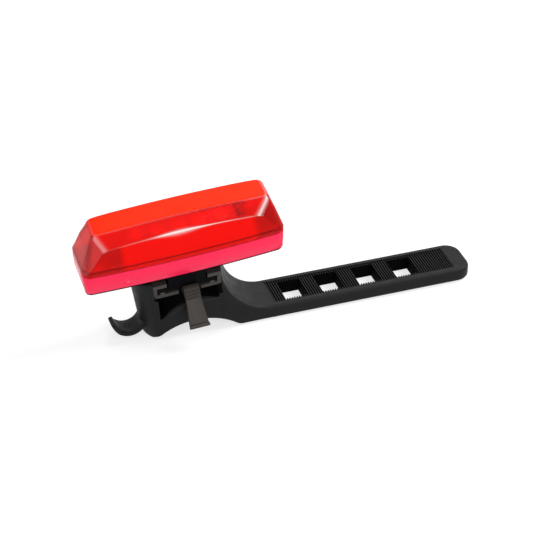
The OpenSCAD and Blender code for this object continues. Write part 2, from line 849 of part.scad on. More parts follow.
// White reflector: a bar that follows the lens on the inside, with one cup over each emitter.
module reflector() {
    half_len = led_span + reflector_end;
    half_foot = side_y(half_len) - rim_in - reflector_gap;
    half_top = slope_in(half_len, reflector_top) - reflector_gap;
    knee_z = slope_foot + (rim_in - lens_wall) / slope_run;
    cup_z = board_top + 1.3;
    color([0.95, 0.95, 0.93]) seat() {
        difference() {
            along_x(2 * half_len) polygon([
                [-half_foot, board_top], [half_foot, board_top], [half_foot, knee_z],
                [half_top, reflector_top], [-half_top, reflector_top], [-half_foot, knee_z]
            ]);
            for (x = spread(led_count, led_step)) {
                translate([x, 0, board_top]) cube([3.6, 3.4, 3], center = true);
                translate([x, 0, cup_z]) {
                    cylinder(r1 = cup_foot_r, r2 = cup_r, h = reflector_top - cup_z + eps);
                }
            }
        }
        reflector_pegs(board_z + 0.2, peg_r);
    }
}

// Pegs that locate the reflector on the board, from z0 up to the board's face.
module reflector_pegs(z0, r) {
    peg_x = led_span + reflector_end - 1.2;
    for (side = [-1, 1]) translate([side * peg_x, side * peg_y, z0]) {
        cylinder(r = r, h = board_top + 0.2 - z0);
    }
}

// Chips and small parts at both ends of the board's face.
module chips() {
    color([0.05, 0.05, 0.06]) seat() translate([0, 0, board_top]) {
        translate([1 - chip_x - driver[0], -driver[1] / 2, 0]) cube(driver);
        translate([chip_x, 0.4 - coil[1], 0]) cube(coil);
        translate([chip_x + 0.4, coil[1] - 2.6, 0]) cube(charger);
        for (i = [0, 1], j = [0, 1]) {
            translate([-chip_x - 7.4 + i * small_step, 1.2 + j * small_step, 0]) cube(small_part);
            translate([chip_x + 5.4 + i * small_step, -3.6 + j * small_step, 0]) cube(small_part);
        }
    }
}

// Side-acting switch under the board, behind the button.
module tact_switch() {
    color([0.6, 0.6, 0.62]) seat() translate([-button_at, 0, 0]) {
        translate([-switch_size[0] / 2, switch_y - 0.65 - switch_size[1], board_z - switch_size[2]]) {
            cube(switch_size);
        }
        translate([-1, switch_y - 0.65 - eps, port_z - 0.6]) cube([2, 0.65 + eps, 1.2]);
    }
}

// Rubber push button: face, flange behind the wall and a nub over the switch.
module mode_button() {
    face_y = side_y(button_at) + button_proud;
    back_y = button_flange_y - button_flange_t;
    color([0.15, 0.15, 0.16]) seat() translate([-button_at, 0, port_z]) {
        translate([0, (face_y + back_y) / 2, 0]) {
            along_y(face_y - back_y) stadium(button_len, button_hgt);
        }
        translate([0, back_y + button_flange_t / 2, 0]) {
            along_y(button_flange_t) stadium(button_len + 1.8, button_hgt + 0.8);
        }
        translate([0, (nub_y + back_y) / 2 + eps, 0]) along_y(back_y - nub_y + 2 * eps) circle(1.2);
    }
}

// Charging socket under the board, a metal shell with its mouth at the far wall.
module usb_socket() {
    shell = 0.3;
    color([0.7, 0.7, 0.72]) seat() translate([port_at, socket_y - socket_size[1], board_z]) {
        difference() {
            translate([-socket_size[0] / 2, 0, -socket_size[2]]) cube(socket_size);
            translate([shell - socket_size[0] / 2, 1, shell - socket_size[2]]) {
                cube([socket_size[0] - 2 * shell, socket_size[1], socket_size[2] - 2 * shell]);
            }
        }
        translate([-1.9, 1 - eps, -socket_size[2] / 2 - 0.3]) cube([3.8, 3, 0.6]);
    }
}

// Rubber flap over the port: a plate that lies flush in the wall, round at its hinge, and a plug.
module port_flap() {
    hinge_x = (flap_t - flap_len) / 2;
    color([0.15, 0.15, 0.16]) seat() at_port() translate([0, -flap_sunk - flap_t, 0]) {
        intersection() {
            linear_extrude(height = flap_hgt, center = true) {
                translate([hinge_x, flap_t / 2]) circle(d = flap_t);
                translate([hinge_x, 0]) square([flap_len - flap_t / 2, flap_t]);
            }
            along_y(4 * flap_t) round_rect(flap_len, flap_hgt, flap_corner_r);
        }
        translate([0, eps - flap_plug[1] / 2, 0]) cube(flap_plug, center = true);
    }
}

// Battery pouch with its folded sealing edge.
module battery() {
    cell_z = plug_z + pad_t;
    color([0.7, 0.72, 0.75]) seat() translate([0, 0, cell_z + cell_t / 2]) {
        along_x(cell_run) round_rect(cell_wid, cell_t, 1);
        translate([cell_run / 2 - eps, -cell_wid / 2 + 1, -0.3]) cube([1.2, cell_wid - 2, 0.6]);
    }
}

// Foam pad between cover and battery.
module battery_pad() {
    color([0.3, 0.3, 0.32]) seat() {
        translate([pad_in[0] - cell_run / 2, pad_in[1] - cell_wid / 2, plug_z]) {
            cube([cell_run - 2 * pad_in[0], cell_wid - 2 * pad_in[1], pad_t]);
        }
    }
}

// Two leads from the battery's edge up to the board.
module battery_leads() {
    lead_run = 0.6;
    lead_z = plug_z + pad_t + cell_t / 2 + 0.3 + lead_r;
    lead_x = cell_run / 2 + lead_gap + lead_run;
    color([0.7, 0.1, 0.1]) seat() for (i = [0, 1]) translate([lead_x, i * lead_step - 3.4, lead_z]) {
        sphere(lead_r);
        cylinder(r = lead_r, h = board_z - lead_z);
        translate([-lead_run / 2, 0, 0]) along_x(lead_run) circle(lead_r);
    }
}

// Clear dot in the near wall that shows the charging state.
module charge_window() {
    color([1, 0.7, 0.75]) seat() window_pin(0.6);
}

// Pin of that radius through the near wall, with a head on the inside.
module window_pin(r) {
    outer_y = side_y(window_at) + (r > 0.6 ? 1 : 0);
    inner_y = side_y(window_at - 1.2) - housing_wall;
    translate([window_at, 0, 3.2]) {
        translate([0, -(outer_y + inner_y - 0.3) / 2, 0]) along_y(outer_y - inner_y + 0.3) circle(r);
        if (r <= 0.6) translate([0, 0.35 - inner_y, 0]) along_y(0.6) circle(1.1);
    }
}

strap_mount();
clip();
release_tab();
lens();
lens_seal();
housing();
back_cover();
cover_seal();
cover_screws();
circuit_board();
board_screws();
leds();
reflector();
chips();
tact_switch();
mode_button();
usb_socket();
port_flap();
battery();
battery_pad();
battery_leads();
charge_window();
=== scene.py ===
"""Looks of a bicycle rear light on a rubber strap mount.

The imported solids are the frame. The rubber moulding, the lens and the release tab get finer surfaces that
stand for their solids. Every other solid keeps its shape and gets a finish of its own, and soft edges where
they show. Sizes in the classes are millimetres, and meshes, lamps and the floor are metres.
"""

from __future__ import annotations

import logging
import math
from dataclasses import dataclass, field
from enum import Enum
from typing import Callable

import bpy
import numpy as np
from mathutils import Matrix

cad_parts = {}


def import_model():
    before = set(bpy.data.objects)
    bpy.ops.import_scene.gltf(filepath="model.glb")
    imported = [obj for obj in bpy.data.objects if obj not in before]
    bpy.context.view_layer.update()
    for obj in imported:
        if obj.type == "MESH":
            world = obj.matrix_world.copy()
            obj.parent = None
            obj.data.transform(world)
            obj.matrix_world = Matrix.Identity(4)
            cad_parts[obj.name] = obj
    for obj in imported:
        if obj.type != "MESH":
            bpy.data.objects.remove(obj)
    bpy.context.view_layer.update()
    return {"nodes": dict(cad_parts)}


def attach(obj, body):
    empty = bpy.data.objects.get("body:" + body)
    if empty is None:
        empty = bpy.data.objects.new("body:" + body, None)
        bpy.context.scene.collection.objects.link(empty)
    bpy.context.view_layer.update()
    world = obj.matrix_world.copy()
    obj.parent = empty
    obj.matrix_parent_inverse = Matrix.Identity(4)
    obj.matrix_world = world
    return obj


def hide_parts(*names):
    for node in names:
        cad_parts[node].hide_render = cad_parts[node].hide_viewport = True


LOG = logging.getLogger("rear_light")
MM = 0.001
Array = np.ndarray
Colour = tuple[float, float, float]
Triple = tuple[float, float, float]
Pair = tuple[float, float]
Table = tuple[tuple[float, ...], tuple[float, ...]]
Socket = bpy.types.NodeSocket
Material = bpy.types.Material
Piece = bpy.types.Object
WHITE = (1, 1, 1, 1)


class Body(Enum):
    """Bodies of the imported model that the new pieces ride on."""

    MOUNT = "mount"
    LATCH = "latch"
    LIGHT = "light"


class Slot(Enum):
    """Material slots of the record, by name; the new pieces don't take their finish from them."""

    RUBBER = "black_rubber"
    CLIP = "clip_plastic"
    LENS = "red_lens"


@dataclass(frozen=True)
class Seat:
    """Leaning seat of the light: its own x, y and z directions and where its middle stands."""

    back: float = 3.4
    height: float = 27.7
    tilt: float = 12.0
    roll: float = 3.5

    def axes(self) -> Array:
        """Turns the axes by the roll about y, after the tilt about x.

        Returns:
            The light's x, y and z directions as the rows of a 3 by 3 array.
        """
        tilt, roll = math.radians(self.tilt), math.radians(self.roll)
        lean = np.array(
            [[1, 0, 0], [0, math.cos(tilt), -math.sin(tilt)], [0, math.sin(tilt), math.cos(tilt)]]
        )
        rise = np.array(
            [[math.cos(roll), 0, -math.sin(roll)], [0, 1, 0], [math.sin(roll), 0, math.cos(roll)]]
        )
        return (rise @ lean).T

    def to_row(self, points: Array) -> Array:
        """Moves points from the light's own frame into the part's frame, in millimetres."""
        return np.array([-self.back, 0.0, self.height]) + points @ self.axes()

    def height_at(self, x: Array, y: Array, level: float) -> Array:
        """Height of the leaning plane at that level, from n . (p - o) = level solved for z."""
        n = self.axes()[2]
        return self.height + (level - n[0] * (x + self.back) - n[1] * y) / n[2]

    def side_at(self, z: Array, level: float) -> Array:
        """Place x of the leaning side plane at that level, from m . (p - o) = level solved for x."""
        m = self.axes()[0]
        return -self.back + (level - m[2] * (z - self.height)) / m[0]


def grid_quads(rows: int, cols: int, wrap_cols: bool = False) -> Array:
    """Faces of a grid of points numbered row by row.

    Args:
        rows: number of rows.
        cols: number of points in a row.
        wrap_cols: whether the last point of a row joins the first.

    Returns:
        Four point numbers for each face, going up a row first.
    """
    r = np.arange(rows - 1)[:, None]
    c = np.arange(cols if wrap_cols else cols - 1)[None, :]
    up, on = r + 1, (c + 1) % cols
    corners = [r * cols + c, up * cols + c, up * cols + on, r * cols + on]
    return np.stack(np.broadcast_arrays(*corners), -1).reshape(-1, 4)


def eased(loop: Array, times: int) -> Array:
    """Rounds closed loops: each point becomes half itself and a quarter of each neighbour.

    Args:
        loop: points in rows of loops, shape (..., points, numbers of a point).
        times: how often that is done.

    Returns:
        The rounded loops.
    """
    for _ in range(times):
        loop = 0.5 * loop + 0.25 * (np.roll(loop, 1, axis=-2) + np.roll(loop, -1, axis=-2))
    return loop


def bell(distance: Array, spread: float | Array) -> Array:
    """Returns exp(-(d / s)^2), 1 on a line and falling to both sides of it."""
    return np.exp(-((distance / spread) ** 2))


def resampled(corners: Array, step: float) -> Array:
    """Points along a closed outline at equal steps of its length.

    Args:
        corners: the outline's corners, one row each.
        step: distance from point to point.

    Returns:
        The points, interpolated on the running length of the outline.
    """
    ring = np.vstack([corners, corners[:1]])
    run = np.concatenate([[0.0], np.cumsum(np.linalg.norm(np.diff(ring, axis=0), axis=1))])
    at = np.linspace(0.0, run[-1], max(int(run[-1] / step), 8), endpoint=False)
    return np.stack([np.interp(at, run, ring[:, k]) for k in range(2)], -1)


def drawn_in(loop: Array, depth: Array) -> Array:
    """Moves closed loops, counter-clockwise in their plane, inwards along their normals.

    Args:
        loop: points in rows of loops, shape (loops, points, 2).
        depth: how far each point moves in, shape (loops, points) or (loops, 1).

    Returns:
        The moved loops: p + d * (-t_v, t_u), t being the unit tangent and d the depth, but at most
        half of the outline's own radius where that bends outwards, so that no loop folds over.
    """
    on = np.roll(loop, -1, axis=-2) - loop
    step = np.maximum(np.linalg.norm(on, axis=-1), 1e-6)
    on = on / step[..., None]
    past, past_step = np.roll(on, 1, axis=-2), np.roll(step, 1, axis=-1)
    bend = np.arcsin(np.clip(past[..., 0] * on[..., 1] - past[..., 1] * on[..., 0], -1, 1))
    most = (step + past_step) / 4 / np.maximum(bend, 1e-3)
    for _ in range(4):
        most = np.minimum(most, np.minimum(np.roll(most, 1, axis=-1), np.roll(most, -1, axis=-1)))
    depth = eased(np.minimum(depth, most)[..., None], 4)
    tangent = past + on
    tangent = tangent / np.maximum(np.linalg.norm(tangent, axis=-1, keepdims=True), 1e-9)
    return loop + depth * np.stack([-tangent[..., 1], tangent[..., 0]], -1)


def rounded_stations(half: float, r: float, inner: int, turn: int = 6) -> tuple[Array, Array]:
    """Places across a width and how far the outline is drawn in there, for edges of radius r.

    Args:
        half: half of the width.
        r: radius of the two edges.
        inner: number of places between the edges.
        turn: number of places on each edge.

    Returns:
        The places from -half to half, and the draw-in r (1 - cos a) where a place is r sin a past the edge.
    """
    a = np.linspace(0.0, math.pi / 2, turn)
    out, depth = half - r + r * np.sin(a), r * (1 - np.cos(a))
    middle = np.linspace(-(half - r), half - r, inner + 2)[1:-1]
    places = np.concatenate([-out[::-1], middle, out])
    return places, np.concatenate([depth[::-1], np.zeros(inner), depth])


class Shell:
    """Gathers grids of points and their faces into one mesh."""

    def __init__(self) -> None:
        """Starts with no points."""
        self.points: list[Array] = []
        self.faces: list[list[int]] = []
        self.marks: list[Array] = []
        self.size = 0

    def add(self, points: Array, quads: Array, caps: tuple[Array, ...] = (),
            marks: Array | None = None) -> None:
        """Adds a set of points.

        Args:
            points: the points, in millimetres.
            quads: faces of four points.
            caps: faces of more points, over the ends.
            marks: number of each quad's material; the first cap takes the first and the last the last.
        """
        flat = points.reshape(-1, 3)
        marks = np.zeros(len(quads), dtype=np.int32) if marks is None else marks.astype(np.int32)
        self.points.append(flat)
        self.faces += (quads + self.size).tolist()
        self.faces += [(cap + self.size).tolist() for cap in caps]
        self.marks += [marks, marks[[0, -1]][:len(caps)]]
        self.size += len(flat)

    def add_loops(self, points: Array, flip: bool = False, marks: Array | None = None) -> None:
        """Adds closed loops in rows, joined row to row, with a face over each end.

        Args:
            points: shape (loops, points in a loop, 3).
            flip: whether the faces turn round.
            marks: number of each face's material, shape (loops - 1, points in a loop).
        """
        rows, cols = points.shape[:2]
        quads = grid_quads(rows, cols, wrap_cols=True)
        first, last = np.arange(cols), np.arange(cols)[::-1] + (rows - 1) * cols
        if flip:
            quads, first, last = quads[:, ::-1], first[::-1], last[::-1]
        self.add(points, quads, (first, last), None if marks is None else marks.ravel())

    def build(self, name: str, angle: float = 40.0) -> Piece:
        """Makes the mesh object.

        Args:
            name: name of the piece.
            angle: faces that meet at less than this many degrees are shaded as one.

        Returns:
            The new object, linked to the scene, at the origin.
        """
        mesh = bpy.data.meshes.new(name)
        mesh.from_pydata((np.vstack(self.points) * MM).tolist(), [], self.faces)
        mesh.polygons.foreach_set("use_smooth", np.ones(len(mesh.polygons), dtype=bool))
        mesh.polygons.foreach_set("material_index", np.concatenate(self.marks))
        mesh.set_sharp_from_angle(angle=math.radians(angle))
        mesh.update()
        obj = bpy.data.objects.new(name, mesh)
        bpy.context.scene.collection.objects.link(obj)
        return obj


class Nodes:
    """A node tree, with the calls that the finishes and the studio share."""

    def __init__(self, tree: bpy.types.NodeTree) -> None:
        """Keeps the tree."""
        self.tree = tree

    def node(self, kind: str, inputs: dict | None = None, **settings: object) -> bpy.types.Node:
        """Adds a node.

        Args:
            kind: the node's type, without its prefix.
            inputs: value of each input by name or number, or the output that is joined to it.
            settings: the node's properties.

        Returns:
            The new node.
        """
        node = self.tree.nodes.new("ShaderNode" + kind)
        for key, value in settings.items():
            setattr(node, key, value)
        self.feed(node, inputs or {})
        return node

    def feed(self, node: bpy.types.Node, inputs: dict) -> None:
        """Sets a node's inputs, or joins them where the value is an output.

        Args:
            node: the node.
            inputs: value or output of each input, by name or number.
        """
        for key, value in inputs.items():
            if isinstance(value, Socket):
                self.tree.links.new(value, node.inputs[key])
            else:
                node.inputs[key].default_value = value

    def spread(self, value: Socket, low: float, high: float | Socket,
               start: float = 0.3, stop: float = 0.7) -> Socket:
        """Maps a value from start..stop to low..high."""
        inputs = {"Value": value, "From Min": start, "From Max": stop, "To Min": low, "To Max": high}
        return self.node("MapRange", inputs).outputs["Result"]


class Sheet(Nodes):
    """A material's nodes around one principled shader."""

    def __init__(self, name: str) -> None:
        """Makes the material.

        Args:
            name: the material's name.
        """
        self.material = bpy.data.materials.new(name)
        self.material.use_nodes = True
        super().__init__(self.material.node_tree)
        self.place = self.node("TexCoord").outputs["Object"]

    def finish(self, **inputs: object) -> Material:
        """Feeds the shader.

        Args:
            inputs: value or output of each input, an underscore in its name standing for a space.

        Returns:
            The finished material.
        """
        shader = self.tree.nodes["Principled BSDF"]
        self.feed(shader, {key.replace("_", " "): value for key, value in inputs.items()})
        return self.material

    def noise(self, scale: float, detail: float = 4.0, stretch: Triple = (1, 1, 1)) -> Socket:
        """Noise on object coordinates, in cycles a metre, stretched along the axes."""
        place = self.node("Mapping", {"Scale": stretch, "Vector": self.place}).outputs["Vector"]
        return self.node("TexNoise", {"Scale": scale, "Detail": detail, "Vector": place}).outputs["Fac"]

    def blend(self, value: Socket, a: Colour | Socket, b: Colour) -> Socket:
        """Mixes two colours by a value."""
        first = a if isinstance(a, Socket) else (*a, 1)
        return self.node("Mix", {0: value, 6: first, 7: (*b, 1)}, data_type="RGBA").outputs[2]

    def bump(self, value: Socket, strength: float, depth: float) -> Socket:
        """Normal of a bump of that depth in metres."""
        inputs = {"Strength": strength, "Distance": depth, "Height": value}
        return self.node("Bump", inputs).outputs["Normal"]


@dataclass(frozen=True)
class Moulded:
    """Moulded rubber or plastic: colour that drifts a little, uneven gloss and a fine grain."""

    name: str
    colour: Colour
    drift: float = 0.12
    rough: Pair = (0.42, 0.55)
    grain: float = 1800.0
    depth: float = 0.00004
    strength: float = 0.25
    shine: float = 0.5

    def material(self) -> Material:
        """Mixes two colours and two roughnesses by noise, with a bump of finer noise.

        Returns:
            The finish as a material.
        """
        sheet = Sheet(self.name)
        low = tuple(c * (1 - self.drift) for c in self.colour)
        high = tuple(min(c * (1 + self.drift), 1.0) for c in self.colour)
        return sheet.finish(
            Base_Color=sheet.blend(sheet.noise(self.grain / 14, 3), low, high),
            Roughness=sheet.spread(sheet.noise(self.grain / 5), *self.rough),
            Normal=sheet.bump(sheet.noise(self.grain, 5), self.strength, self.depth),
            Specular_IOR_Level=self.shine)


@dataclass(frozen=True)
class ClearRed:
    """Clear red plastic: cloudier by milk, paler by painted highlights and darker by painted shade, all from
    0 to 1.
    """

    name: str = "clear_red"
    tint: Colour = (1.0, 0.007, 0.004)
    # Colour of the painted shade, also of the dark rim line.
    dark: Colour = (0.09, 0.003, 0.004)
    # Colour of the painted highlights.
    pale: Colour = (1.0, 0.82, 0.8)
    rough: Pair = (0.03, 0.22)
    ior: float = 1.22
    shine: float = 0.1

    def material(self) -> Material:
        """Reads the piece's milk, painted highlights and painted shade, and lets less light through where it
        is milky or pale.

        Returns:
            The finish as a material.
        """
        sheet = Sheet(self.name)
        milk, glint, shade = (sheet.node("Attribute", attribute_name=name).outputs["Fac"]
                              for name in ("milk", "glint", "shade"))
        dull = sheet.node("Math", {0: milk, 1: glint}, operation="MAXIMUM").outputs[0]
        return sheet.finish(
            # Base colour: dark where shade is painted, pale where highlights are painted.
            Base_Color=sheet.blend(glint, sheet.blend(shade, self.tint, self.dark), self.pale),
            Transmission_Weight=sheet.spread(dull, 1.0, 0.0, 0, 1),
            Roughness=sheet.spread(milk, *self.rough, 0, 1),
            Normal=sheet.bump(sheet.noise(500, 3), 0.03, 0.00005),
            IOR=self.ior, Specular_IOR_Level=self.shine)


@dataclass(frozen=True)
class Metal:
    """Drawn or plated metal: fine lines along one axis and uneven gloss."""

    name: str
    colour: Colour
    rough: Pair = (0.22, 0.36)
    along: Triple = (0.1, 1.0, 1.0)
    grain: float = 4200.0
    dulled: float = 0.82

    def material(self) -> Material:
        """Stretches noise along one axis for the lines, which set roughness and bump.

        Returns:
            The finish as a material.
        """
        sheet = Sheet(self.name)
        lines = sheet.noise(self.grain, stretch=self.along)
        dull = tuple(c * self.dulled for c in self.colour)
        return sheet.finish(
            Base_Color=sheet.blend(sheet.noise(300, 3), dull, self.colour),
            Roughness=sheet.spread(lines, *self.rough),
            Normal=sheet.bump(lines, 0.12, 0.00002),
            Metallic=1.0)


@dataclass(frozen=True)
class Laminate:
    """Circuit board: solder mask with paler tracks that run along it."""

    name: str = "board_laminate"
    mask: Colour = (0.05, 0.06, 0.05)
    track: Colour = (0.1, 0.11, 0.09)
    bands: float = 300.0

    def material(self) -> Material:
        """Draws the tracks as thin bands of a wave pattern.

        Returns:
            The finish as a material.
        """
        sheet = Sheet(self.name)
        inputs = {"Scale": self.bands, "Distortion": 2.5, "Vector": sheet.place}
        wave = sheet.node("TexWave", inputs, wave_type="BANDS", bands_direction="Y").outputs["Fac"]
        bands = sheet.spread(wave, 0, 1, 0.72, 0.8)
        return sheet.finish(
            Base_Color=sheet.blend(bands, self.mask, self.track),
            Roughness=sheet.spread(sheet.noise(900), 0.3, 0.42),
            Normal=sheet.bump(bands, 0.15, 0.00003))


@dataclass(frozen=True)
class Emitter:
    """Light emitters in a row: pale bodies, each with a bright die in the middle of its dome. They shine as
    if switched on: painted light that lights the lens from inside.
    """

    name: str = "emitter_phosphor"
    colour: Colour = (1.0, 0.72, 0.3)
    # Painted light: emission colours and strength, standing in for light inside the lens.
    painted_glow: Colour = (0.2, 0.14, 0.08)
    die: Colour = (1.0, 0.85, 0.5)
    light: float = 22.0
    pitch: float = 7.4
    die_r: float = 0.7
    seat: Seat = Seat()

    def from_axis(self, sheet: Sheet) -> Socket:
        """Distance from the nearest emitter's axis: hypot(x wrapped to the pitch, y) in the light's frame.

        Args:
            sheet: the material's nodes.

        Returns:
            The output that holds the distance in metres.
        """
        start = (-self.seat.back * MM, 0.0, self.seat.height * MM)
        half = self.pitch * MM / 2

        def vector(operation: str, first: Socket, *others: Triple) -> bpy.types.Node:
            """Adds a vector sum with constants."""
            return sheet.node("VectorMath", dict(enumerate((first, *others))), operation=operation)

        off = vector("SUBTRACT", sheet.place, start).outputs["Vector"]
        along, across = (vector("DOT_PRODUCT", off, row).outputs["Value"] for row in self.seat.axes()[:2])
        flat = sheet.node("CombineXYZ", {0: along, 1: across}).outputs["Vector"]
        wrap = vector("WRAP", flat, (half, 1.0, 1.0), (-half, -1.0, -1.0)).outputs["Vector"]
        return vector("LENGTH", wrap).outputs["Value"]

    def material(self) -> Material:
        """Lets the die's colour shine round each axis and a dimmer one elsewhere: painted light, as emission.

        Returns:
            The finish as a material.
        """
        sheet = Sheet(self.name)
        pale = tuple(min(1.0, c * 1.15 + 0.1) for c in self.colour)
        middle = sheet.spread(self.from_axis(sheet), 1, 0, 0.6 * self.die_r * MM, self.die_r * MM)
        return sheet.finish(
            Base_Color=sheet.blend(sheet.noise(1400, 3), self.colour, pale),
            Roughness=sheet.spread(sheet.noise(700), 0.16, 0.3),
            Normal=sheet.bump(sheet.noise(2600), 0.1, 0.00002),
            Emission_Color=sheet.blend(middle, self.painted_glow, self.die), Emission_Strength=self.light,
            Coat_Weight=0.6, Coat_Roughness=0.05)


@dataclass
class Studio:
    """Plain pale floor, soft lamps and the camera at the viewing angle."""

    azimuth: float = -18.905
    elevation: float = 34.383
    distance: float = 726.02
    target: Triple = (37.095, 16.709, 0.0)
    focal_px: float = 2000.0
    picture_px: float = 550.0
    sensor: float = 36.0
    clip: Pair = (0.05, 20.0)
    sky: float = 0.4
    bounce: float = 0.4
    own_white: float = 0.69
    far_white: float = 0.88
    fade: Pair = (0.2, 0.7)
    paper: Colour = (0.34, 0.34, 0.34)
    floor_half: float = 1500.0
    floor_drop: float = 0.3
    aim: Triple = (0.01, 0.0, 0.02)
    lamps: dict[str, tuple[Triple, float, float]] = field(default_factory=lambda: {
        "lamp_key": ((-0.42, -0.34, 0.5), 0.42, 1.1),
        "lamp_front": ((0.1, -0.7, 0.4), 0.45, 2.4),
        "lamp_back": ((0.2, 0.42, 0.62), 0.25, 1.3),
        "lamp_side": ((0.45, 0.0, 0.46), 0.3, 3.4),
    })

    def build(self) -> None:
        """Makes the world, floor, lamps and camera."""
        bpy.context.scene.view_settings.view_transform = "Standard"
        self.world()
        self.floor()
        for name, (place, size, power) in self.lamps.items():
            self.lamp(name, place, size, power)
        self.camera()

    @staticmethod
    def seen(nodes: Nodes) -> Socket:
        """Tells rays that show the background from those that only carry light.

        Args:
            nodes: the tree that asks.

        Returns:
            An output that is 1 for camera, glossy and transmission rays and 0 for the rest.
        """
        path = nodes.node("LightPath").outputs
        value = path["Is Camera Ray"]
        for key in ("Is Glossy Ray", "Is Transmission Ray"):
            value = nodes.node("Math", {0: value, 1: path[key]}, operation="MAXIMUM").outputs[0]
        return value

    def world(self) -> None:
        """White background for what is seen, and a softer sky for what it lights."""
        world = bpy.data.worlds.new("studio_sky")
        bpy.context.scene.world = world
        world.use_nodes = True
        nodes = Nodes(world.node_tree)
        level = nodes.spread(self.seen(nodes), self.sky, 1.0, 0, 1)
        nodes.feed(nodes.tree.nodes["Background"], {"Color": WHITE, "Strength": level})

    def floor(self) -> None:
        """Pale floor: part of its white is its own, more so far off where no lamp reaches."""
        shell = Shell()
        edge = np.array([-self.floor_half, self.floor_half])
        x, y = np.meshgrid(edge, edge, indexing="ij")
        shell.add(np.stack([x, y, np.full_like(x, -self.floor_drop)], -1), grid_quads(2, 2))
        floor = shell.build("studio_floor")
        material = bpy.data.materials.new("floor_paper")
        material.use_nodes = True
        nodes = Nodes(material.node_tree)
        nodes.tree.nodes.clear()
        place = nodes.node("TexCoord").outputs["Object"]
        far = nodes.node("VectorMath", {0: place}, operation="LENGTH").outputs["Value"]
        white = nodes.spread(far, self.own_white, self.far_white, *self.fade)
        strength = nodes.spread(self.seen(nodes), self.bounce, white, 0, 1)
        own = nodes.node("Emission", {"Color": WHITE, "Strength": strength})
        paper = nodes.node("BsdfDiffuse", {"Color": (*self.paper, 1)})
        both = nodes.node("AddShader", {0: paper.outputs[0], 1: own.outputs[0]})
        nodes.node("OutputMaterial", {"Surface": both.outputs[0]})
        floor.data.materials.append(material)

    def lamp(self, name: str, place: Triple, size: float, power: float) -> None:
        """Adds a square soft lamp that looks at the object's middle.

        Args:
            name: name of the lamp.
            place: where it stands, in metres.
            size: length of its side in metres.
            power: its power in watts.
        """
        data = bpy.data.lights.new(name, "AREA")
        data.shape, data.size, data.energy = "SQUARE", size, power
        lamp = bpy.data.objects.new(name, data)
        bpy.context.scene.collection.objects.link(lamp)
        lamp.location = place
        x, y, z = np.array(self.aim) - np.array(place)
        lamp.rotation_euler = (math.atan2(math.hypot(x, y), -z), 0.0, math.atan2(-x, y))

    def camera(self) -> None:
        """Camera on a long lens, from azimuth and elevation round the target."""
        a, e = math.radians(self.azimuth), math.radians(self.elevation)
        back = np.array([math.sin(a) * math.cos(e), -math.cos(a) * math.cos(e), math.sin(e)])
        data = bpy.data.cameras.new("view")
        data.lens = self.focal_px / self.picture_px * self.sensor
        data.sensor_width, data.sensor_fit = self.sensor, "HORIZONTAL"
        data.clip_start, data.clip_end = self.clip
        camera = bpy.data.objects.new("view", data)
        bpy.context.scene.collection.objects.link(camera)
        camera.location = (np.array(self.target) + self.distance * back) * MM
        camera.rotation_euler = (math.pi / 2 - e, 0.0, a)
        bpy.context.scene.camera = camera


